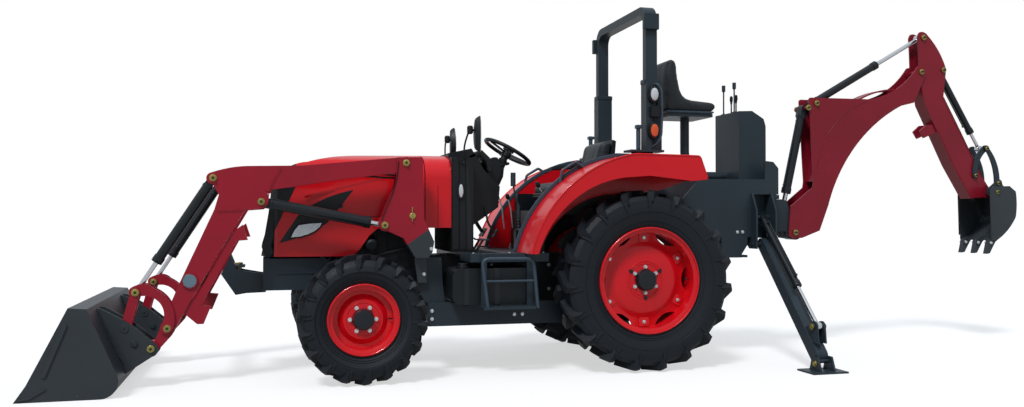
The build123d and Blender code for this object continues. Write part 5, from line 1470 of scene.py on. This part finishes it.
class RollBar(Assembly):
    """Sleeve collars, stubs, guards, lamps and cables of the roll bar."""

    def build(self) -> None:
        """Adds them."""
        collar = Solid().box((80, -546, 2092), (216, -456, 2130)).eased(5)
        collar.box((70, -566, 2500), (190, -528, 2618)).eased(6)
        collar.both().piece("roll_bar_collars", CHARCOAL_POWDER)
        stub = Solid().lathe([(0, 0), (0, 17), (180, 17), (184, 14), (184, 0)], (40, -520, 1604), (40, -520, 2000),
                             28)
        stub.box((18, -545, 1760), (66, -500, 1786)).eased(3)
        stub.both().piece("roll_bar_stubs", SLATE_POWDER)
        guard = Solid().tube(((150, -552, 2092), (168, -588, 2088), (192, -600, 2040), (197, -602, 1880),
                              (190, -600, 1700), (160, -588, 1640), (135, -552, 1624)), 8, 34, 12)
        guard.both().piece("lamp_guards", SLATE_POWDER)
        shells, lenses, ambers = Solid(), Solid(), Solid()
        shell_rings, lens_rings = ((1.0, -560), (1.0, -590), (0.9, -596)), ((0.72, -594), (0.72, -600), (0.5, -606))
        for z, lens in ((2010, lenses), (1742, ambers)):
            for solid, rings in ((shells, shell_rings), (lens, lens_rings)):
                near, edge, crown = [oval((138, z), (42 * size, 66 * size), y) for size, y in rings]
                solid.loft(near, edge).loft(edge, crown)
        shells.prism(((112, 1842), (190, 1842), (190, 1922), (112, 1922)), -598, -560).eased(5)
        shells.both().piece("roll_bar_lamp_shells", BLACK_ABS, replaces=("rops_lamps",))
        lenses.both().piece("work_lamp_lenses", WHITE_LENS)
        ambers.both().piece("marker_lamp_lenses", AMBER_LENS)
        cable = Solid().tube(((150, -562, 1842), (150, -566, 1700), (140, -566, 1620), (132, -556, 1560)), 5, 20, 10)
        cable.tube(((172, -566, 1922), (176, -570, 1960), (168, -572, 1985)), 5, 14, 10)
        cable.both().piece("lamp_cables", BLACK_ABS)


# Seats. The cloth runs for a number of frames, and is held within a distance of its seams.
VOXEL_M = 0.008
CLOTH_FRAMES = 20
SEAM_HALF_MM = 7
NO_SEAM_MM = 99.0


@dataclass(frozen=True)
class Cushion:
    """A foam cushion under a sewn cover, blown up as cloth from a slightly smaller core.

    The outline is a side view; its seams run along the machine at the given places across it.
    """

    name: str
    outline: tuple[Flat, ...]
    half: float
    seams: tuple[float, ...]
    ease: float
    cap: float
    fill: float
    replaces: tuple[str, ...] = ()

    def core(self) -> Mesh:
        """The eased core, in metres, remeshed to even quads."""
        solid = Solid().prism(self.outline, -self.half, self.half).eased(self.ease, 25)
        for vert in solid.mesh.verts:
            vert.co = at(vert.co)
        holder = standing("core", solid.data("core"))
        even = holder.modifiers.new("even", "REMESH")
        even.mode = "VOXEL"
        even.voxel_size = VOXEL_M
        calm = holder.modifiers.new("calm", "SMOOTH")
        calm.iterations = 6
        calm.factor = 0.5
        bpy.context.view_layer.update()
        made = evaluated(holder)
        self.drop(holder)
        return made

    @staticmethod
    def drop(holder: bpy.types.Object) -> None:
        """Removes a working object and its mesh."""
        mesh = holder.data
        bpy.data.objects.remove(holder)
        bpy.data.meshes.remove(mesh)

    def blown(self, core: Mesh) -> Mesh:
        """The core after its cover has been blown up by pressure, held along its seams."""
        rest = [vert.co.copy() for vert in core.vertices]
        holder = standing("blown", core)
        held = holder.vertex_groups.new(name="held")
        for vert in core.vertices:
            near = min((abs(vert.co.y * 1000 - y) for y in self.seams), default=NO_SEAM_MM)
            if near < SEAM_HALF_MM:
                held.add([vert.index], 1.0, "REPLACE")
        cloth = holder.modifiers.new("cover", "CLOTH")
        cover = cloth.settings
        cover.use_pressure = True
        cover.uniform_pressure_force = 4.0
        cover.quality = 5
        cover.tension_stiffness = cover.compression_stiffness = 30.0
        cover.vertex_group_mass = "held"
        cover.effector_weights.gravity = 0.0
        cloth.point_cache.frame_start = 1
        cloth.point_cache.frame_end = CLOTH_FRAMES
        for number in range(1, CLOTH_FRAMES + 1):
            bpy.context.scene.frame_set(number)
        made = evaluated(holder)
        for vert, start in zip(made.vertices, rest):
            shift = vert.co - start
            if shift.length > self.cap / 1000:
                vert.co = start + shift.normalized() * (self.cap / 1000)
        holder.modifiers.clear()
        self.drop(holder)
        bpy.context.scene.frame_set(1)
        return made

    def build(self) -> None:
        """Adds the cushion."""
        mesh = self.core()
        mesh = self.blown(mesh)
        made = settle(self.name, mesh, SEAT_VINYL, "root", self.replaces, 70)
        fine = made.modifiers.new("finer", "SUBSURF")
        fine.levels = 1
        fine.render_levels = 1


CUSHIONS = (
    Cushion("driver_cushion",
            ((-548, 1278), (-150, 1266), (-140, 1300), (-160, 1336), (-330, 1346), (-500, 1372), (-552, 1352),
             (-564, 1310)), half=222, seams=(-118, 118), ease=24, cap=14, fill=0.8, replaces=("driver_seat",)),
    Cushion("driver_back",
            ((-196, 1330), (-116, 1322), (-58, 1560), (-42, 1660), (-62, 1690), (-112, 1690), (-140, 1650),
             (-178, 1480)), half=208, seams=(-112, 112), ease=24, cap=12, fill=0.8),
    Cushion("backhoe_cushion",
            ((420, 1942), (800, 1942), (840, 1960), (852, 1990), (836, 2014), (640, 2026), (566, 2050), (536, 2110),
             (514, 2220), (500, 2330), (476, 2354), (436, 2350), (408, 2240), (400, 2100), (404, 1990)), half=206,
            seams=(-104, 104), ease=22, cap=12, fill=0.8, replaces=("backhoe_seat",)),
)


class SeatShells(Assembly):
    """Pans, back shells, piping and armrests under and behind the cushions."""

    def build(self) -> None:
        """Adds them."""
        pan = Solid().prism(((-556, 1236), (-150, 1236), (-120, 1262), (-150, 1280), (-556, 1296), (-572, 1270)),
                            -228, 228).eased(10)
        pan.prism(((-130, 1262), (-96, 1256), (-28, 1560), (-16, 1690), (-44, 1700), (-62, 1560)), -214, 214).eased(9)
        pan.piece("driver_seat_shell", BLACK_ABS)
        boots = Solid()
        for k in range(4):
            z = 1236 - 20 * k
            boots.prism(((-496 + k * 2, z), (-186 - k * 2, z), (-200, z - 10), (-186 - k * 2, z - 20),
                         (-496 + k * 2, z - 20), (-482, z - 10)), -150, 150).eased(3)
        boots.piece("driver_seat_bellows", BLACK_ABS)
        arms = Solid().prism(((-400, 1476), (-150, 1496), (-140, 1522), (-176, 1530), (-396, 1512), (-414, 1494)),
                             -252, -206).eased(9)
        arms.both().piece("driver_armrests", SEAT_VINYL)
        under = Solid().prism(((420, 1926), (812, 1926), (836, 1942), (812, 1946), (424, 1946), (404, 1940)), -202,
                              202).eased(6)
        under.piece("backhoe_seat_shell", SLATE_POWDER)
        post = Solid().tube(((560, -150, 1925), (560, 150, 1925)), 12, 0, 14)
        post.tube(((720, -150, 1925), (720, 150, 1925)), 12, 0, 14)
        post.piece("backhoe_seat_rails", CHARCOAL_POWDER)


# Loader.
class LoaderTrim(Assembly):
    """Welds, tube ends, latch, pipes and wear parts of the loader."""

    def build(self) -> None:
        """Adds them."""
        # The end covers carry a painted reflection: blue-grey for the sky seen in their charcoal faces.
        ends = Solid().lathe([(-3, 0), (-3, 44), (2, 44), (4, 42), (4, 0)], (-3116, -530, 685), (-3116, -700, 685),
                             48)
        ends.both().piece("cross_tube_ends", TUBE_END_SKY_REFLECTION, "arms")
        welds = Solid()
        for y in (-530.0, -459.0):
            welds.tube(oval((-3116, 685), (48, 48), y), 4, 0, 8, True)
        welds.both().piece("cross_tube_welds", CRIMSON_ENAMEL, "arms")
        latch = Solid().lathe([(-4, 0), (-4, 22), (7, 22), (9, 19), (9, 8), (15, 7), (15, 0)], (-1653, -536, 1111),
                              (-1653, -700, 1111), 28)
        latch.tube(((-1656, -549, 1074), (-1656, -549, 1172)), 4, 0, 12)
        latch.both().piece("mast_latches", YELLOW_ZINC)
        places = []
        for start, way in ARM_ENDS:
            hit = self.solids.hit((-3446, start, 292), (0, way, 0), ("loader_bucket",))
            if hit:
                places.append(((-3446, hit[0][1], 292), (0, -way, 0)))
        self.grower.fix(Head.PIN, places, "bucket_ear_discs", CHARCOAL_POWDER, "bucket")
        edge_line = ((-1750, 1490), (-1761, 1377), (-1788, 1278), (-1830, 1179), (-1868, 1080))
        seams = Solid().prism(band(edge_line, -2.5, 2.5), -543, -541)
        seams.both().piece("mast_edge_lines", PANEL_GAP)
        beads = Solid()
        for line in (((-2543, 1436), (-2596, 1341), (-2617, 1273), (-2622, 1222)),
                     ((-2950, 1150), (-2859, 1154), (-2762, 1156))):
            beads.tube(at_depth(line, -530.5), 2.4, 30, 8)
        beads.both().piece("arm_weld_beads", CRIMSON_ENAMEL, "arms")
        pipes = Solid()
        for drop in (0.0, 20.0):
            line = ((-1700, 1392), (-1960, 1405), (-2420, 1440), (-2760, 1420), (-2930, 1330))
            pipes.tube([(x, -447, z - drop) for x, z in line], 7, 60, 10)
        pipes.both().piece("arm_pipes", BLACK_PAINT, "arms")
        edge = Solid()
        for y in (-853.0, 853.0):
            edge.prism(((-4062, 8), (-3990, 20), (-3900, 74), (-3904, 82), (-3994, 30), (-4064, 16)), y - 4, y + 4)
        edge.piece("bucket_side_edges", BUCKET_PAINT, "bucket")


# Backhoe.
class BackhoeTrim(Assembly):
    """Welds, tooth adapters, cutters, levers and pin heads of the backhoe."""

    def build(self) -> None:
        """Adds them."""
        self.welds()
        self.bucket()
        self.tower()
        self.stabilisers()

    def welds(self) -> None:
        """Weld lines of the boom's and dipper's boxes, raised on both flanks, and the dipper's cover plate."""
        boom = Solid().tube(at_depth(arc((1846, 1510), (2015, 1884), (2330, 2090)), -80.5), 3, 0, 8)
        boom.both().piece("boom_welds", MAROON_ENAMEL, "boom_body")
        dipper = Solid()
        for line in (((3106, 2150), (3284, 1844), (3512, 1450)), ((3050, 1880), (3214, 1572), (3392, 1292))):
            dipper.tube(at_depth(line, -64.5), 3, 0, 8)
        dipper.both().piece("dipper_welds", MAROON_ENAMEL, "dipper_body")
        face = Solid().prism(band([(3128, 2150), (3304, 1846), (3528, 1452)], -9.0, 1.0), -64, 64).eased(2)
        face.piece("dipper_cover", CRIMSON_ENAMEL, "dipper_body")

    def bucket(self) -> None:
        """Tooth adapters with their bolts, and side cutters of the digging bucket."""
        adapters = Solid()
        bolts = []
        for y in (-150, 0, 150):
            adapters.prism(((3548, 888), (3524, 905), (3500, 890), (3494, 858), (3516, 842)), y - 29, y + 29).eased(3)
            bolts += [((3508, y - 29, 872), (0, -1, 0)), ((3508, y + 29, 872), (0, 1, 0))]
        adapters.piece("tooth_adapters", BUCKET_PAINT, "hoe_bucket_body")
        self.grower.fix(Head.HEX_16, bolts, "tooth_bolts", BRIGHT_ZINC, "hoe_bucket_body")
        cutter = Solid().prism(((3486, 1300), (3516, 1310), (3528, 1180), (3524, 960), (3496, 930), (3492, 1120)),
                               -198, -189).eased(2)
        cutter.both().piece("side_cutters", BUCKET_PAINT, "hoe_bucket_body")

    def tower(self) -> None:
        """Collars and knobs of the digging levers."""
        rods, knobs = Solid(), Solid()
        for x, y, top in ((1066, -90, 2150), (1066, 90, 2150), (1110, -40, 2060), (1110, 40, 2060)):
            rods.lathe([(0, 0), (0, 20), (5, 19), (8, 9), (14, 7), (20, 0)], (x, y, 1954), (x, y, 2300), 24)
            knobs.lathe([(-6, 0), (-6, 8), (4, 12.5), (28, 13.5), (42, 11), (48, 5), (49, 0)], (x, y, top),
                        (x, y, 2300), 28)
        rods.piece("lever_collars_rear", BLACK_PAINT)
        knobs.piece("lever_knobs_rear", BLACK_ABS)

    def stabilisers(self) -> None:
        """Pin heads at both ends of the stabiliser legs and cylinders."""
        for side, sign in SIDES:
            found = []
            for y, z in ((350, 887), (1062, 317), (1120, 62)):
                for way in (-1, 1):
                    hit = self.solids.hit((1195 + way * 400, sign * y, z), (-way, 0, 0), (f"stabiliser_leg_{side}",))
                    if hit:
                        found.append((hit[0], (way, 0, 0)))
            self.grower.fix(Head.PIN, found, f"stabiliser_{side}_pin_heads", YELLOW_ZINC,
                            f"stabiliser_{side}_leg_body")


class Underside(Assembly):
    """Straps and cap of the fuel tank."""

    def build(self) -> None:
        """Adds them."""
        strap = Solid()
        for x in (-1290.0, -1074.0, -860.0):
            for face in (((-643, 488), (-297, 488), (-297, 492), (-643, 492)),
                         ((-643, 746), (-297, 746), (-297, 749), (-643, 749)),
                         ((-643, 488), (-640, 488), (-640, 749), (-643, 749)),
                         ((-300, 488), (-297, 488), (-297, 749), (-300, 749))):
                strap.prism(face, x - 19, x + 19, View.REAR)
        strap.piece("tank_straps", BLACK_PAINT)
        cap = Solid().lathe([(-4, 0), (-4, 44), (10, 44), (14, 38), (30, 38), (34, 34), (34, 0)], (-1300, -560, 745),
                            (-1300, -560, 900), 36)
        cap.piece("tank_cap", BLACK_ABS)


# Studio.
@dataclass
class Studio:
    """Pale floor, soft light and the camera."""

    lens_mm: float = 32.176
    stand: Point = (-2628.4, -6854.1, 1118.2)
    yaw: float = 0.2614
    pitch: float = 0.0123
    sun_strength: float = 2.1
    sky_strength: float = 0.55
    gloss_share: float = 0.45
    floor_reach: float = 60.0

    def build(self) -> None:
        """Makes the floor, the world, the lamps and the camera."""
        self.floor()
        self.sky()
        self.lamp("key", (-4200, -5200, 9000), self.sun_strength, 12)
        self.camera()

    def floor(self) -> None:
        """A floor that reads white to the eye and keeps the machine's shadow."""
        made = bpy.data.materials.new("matt_white_paper")
        made.use_nodes = True
        tree = made.node_tree
        tree.nodes.clear()
        seen = self.seen(tree)
        paper = node(tree, "ShaderNodeBsdfDiffuse", {0: (0.36, 0.34, 0.32, 1.0)})
        dim = node(tree, "ShaderNodeBsdfDiffuse", {0: (0.42, 0.42, 0.43, 1.0)})
        glow = node(tree, "ShaderNodeEmission", {0: (1.0, 1.0, 1.0, 1.0), "Strength": 0.6})
        lit = node(tree, "ShaderNodeAddShader", {}, {0: dim.outputs[0], 1: glow.outputs[0]})
        both = node(tree, "ShaderNodeMixShader", {}, {0: seen, 1: paper.outputs[0], 2: lit.outputs[0]})
        node(tree, "ShaderNodeOutputMaterial", {}, {0: both.outputs[0]})
        mesh = bpy.data.meshes.new("floor")
        reach = self.floor_reach
        mesh.from_pydata([(-reach, -reach, 0), (reach, -reach, 0), (reach, reach, 0), (-reach, reach, 0)], [],
                         [(0, 1, 2, 3)])
        mesh.materials.append(made)
        standing("floor", mesh)

    def sky(self) -> None:
        """Even pale light, white where it is seen."""
        world = bpy.data.worlds.new("studio")
        bpy.context.scene.world = world
        world.use_nodes = True
        tree = world.node_tree
        tree.nodes.clear()
        up = node(tree, "ShaderNodeSeparateXYZ", {},
                  {0: node(tree, "ShaderNodeTexCoord").outputs["Generated"]}).outputs[2]
        bright = node(tree, "ShaderNodeMapRange",
                      {1: -0.1, 2: 0.9, 3: self.sky_strength * 0.4, 4: self.sky_strength * 1.3}, {0: up})
        dome = node(tree, "ShaderNodeBackground", {0: (0.80, 0.90, 1.0, 1.0)}, {"Strength": bright.outputs[0]})
        white = node(tree, "ShaderNodeBackground", {0: (1.0, 1.0, 1.0, 1.0), "Strength": 1.0})
        both = node(tree, "ShaderNodeMixShader", {}, {0: self.seen(tree), 1: dome.outputs[0], 2: white.outputs[0]})
        node(tree, "ShaderNodeOutputWorld", {}, {0: both.outputs[0]})

    def seen(self, tree: Tree) -> Socket:
        """How far a ray sees the white: all of it to the eye and through glass, a share of it in a gloss."""
        ray = node(tree, "ShaderNodeLightPath")
        clear = node(tree, "ShaderNodeMath", {"operation": "MAXIMUM"},
                     {0: ray.outputs["Is Camera Ray"], 1: ray.outputs["Is Transmission Ray"]})
        gloss = node(tree, "ShaderNodeMath", {"operation": "MULTIPLY", 1: self.gloss_share},
                     {0: ray.outputs["Is Glossy Ray"]})
        return node(tree, "ShaderNodeMath", {"operation": "MAXIMUM"},
                    {0: clear.outputs[0], 1: gloss.outputs[0]}).outputs[0]

    def lamp(self, name: str, stand: Point, strength: float, spread: float) -> None:
        """Adds a broad sun.

        Args:
            name: name of the lamp.
            stand: direction that it shines from.
            strength: its strength.
            spread: its width in degrees.
        """
        light = bpy.data.lights.new(name, "SUN")
        light.energy = strength
        light.angle = math.radians(spread)
        standing(name, light).rotation_euler = Vector(stand).to_track_quat("Z", "Y").to_euler()

    def camera(self) -> None:
        """Puts the camera where the photograph was taken from."""
        lens = bpy.data.cameras.new("camera")
        lens.lens = self.lens_mm
        lens.sensor_width = 36.0
        lens.clip_end = 200.0
        camera = standing("camera", lens)
        level = math.cos(self.pitch)
        ahead = Vector((math.sin(self.yaw) * level, math.cos(self.yaw) * level, math.sin(self.pitch)))
        camera.rotation_euler = ahead.to_track_quat("-Z", "Y").to_euler()
        camera.location = at(self.stand)
        bpy.context.scene.camera = camera


def main() -> None:
    """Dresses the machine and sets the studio."""
    logging.basicConfig(level=logging.INFO, format="%(name)s: %(message)s")
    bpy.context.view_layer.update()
    bpy.context.scene.view_settings.view_transform = "Standard"
    Studio().build()
    solids = CarriedSolids()
    solids.dress()
    grower = Grower()
    for wheel in WHEELS:
        wheel.build(grower)
    for cylinder in CYLINDERS:
        cylinder.build()
    for group in (RearRimBrackets, FrontEnd, Controls, RollBar, PinHeads, Bolts, LoaderTrim, BackhoeTrim, Fenders,
                  Underside, SeatShells):
        group(grower, solids).build()
    for cushion in CUSHIONS:
        cushion.build()


if __name__ == "__main__":
    main()
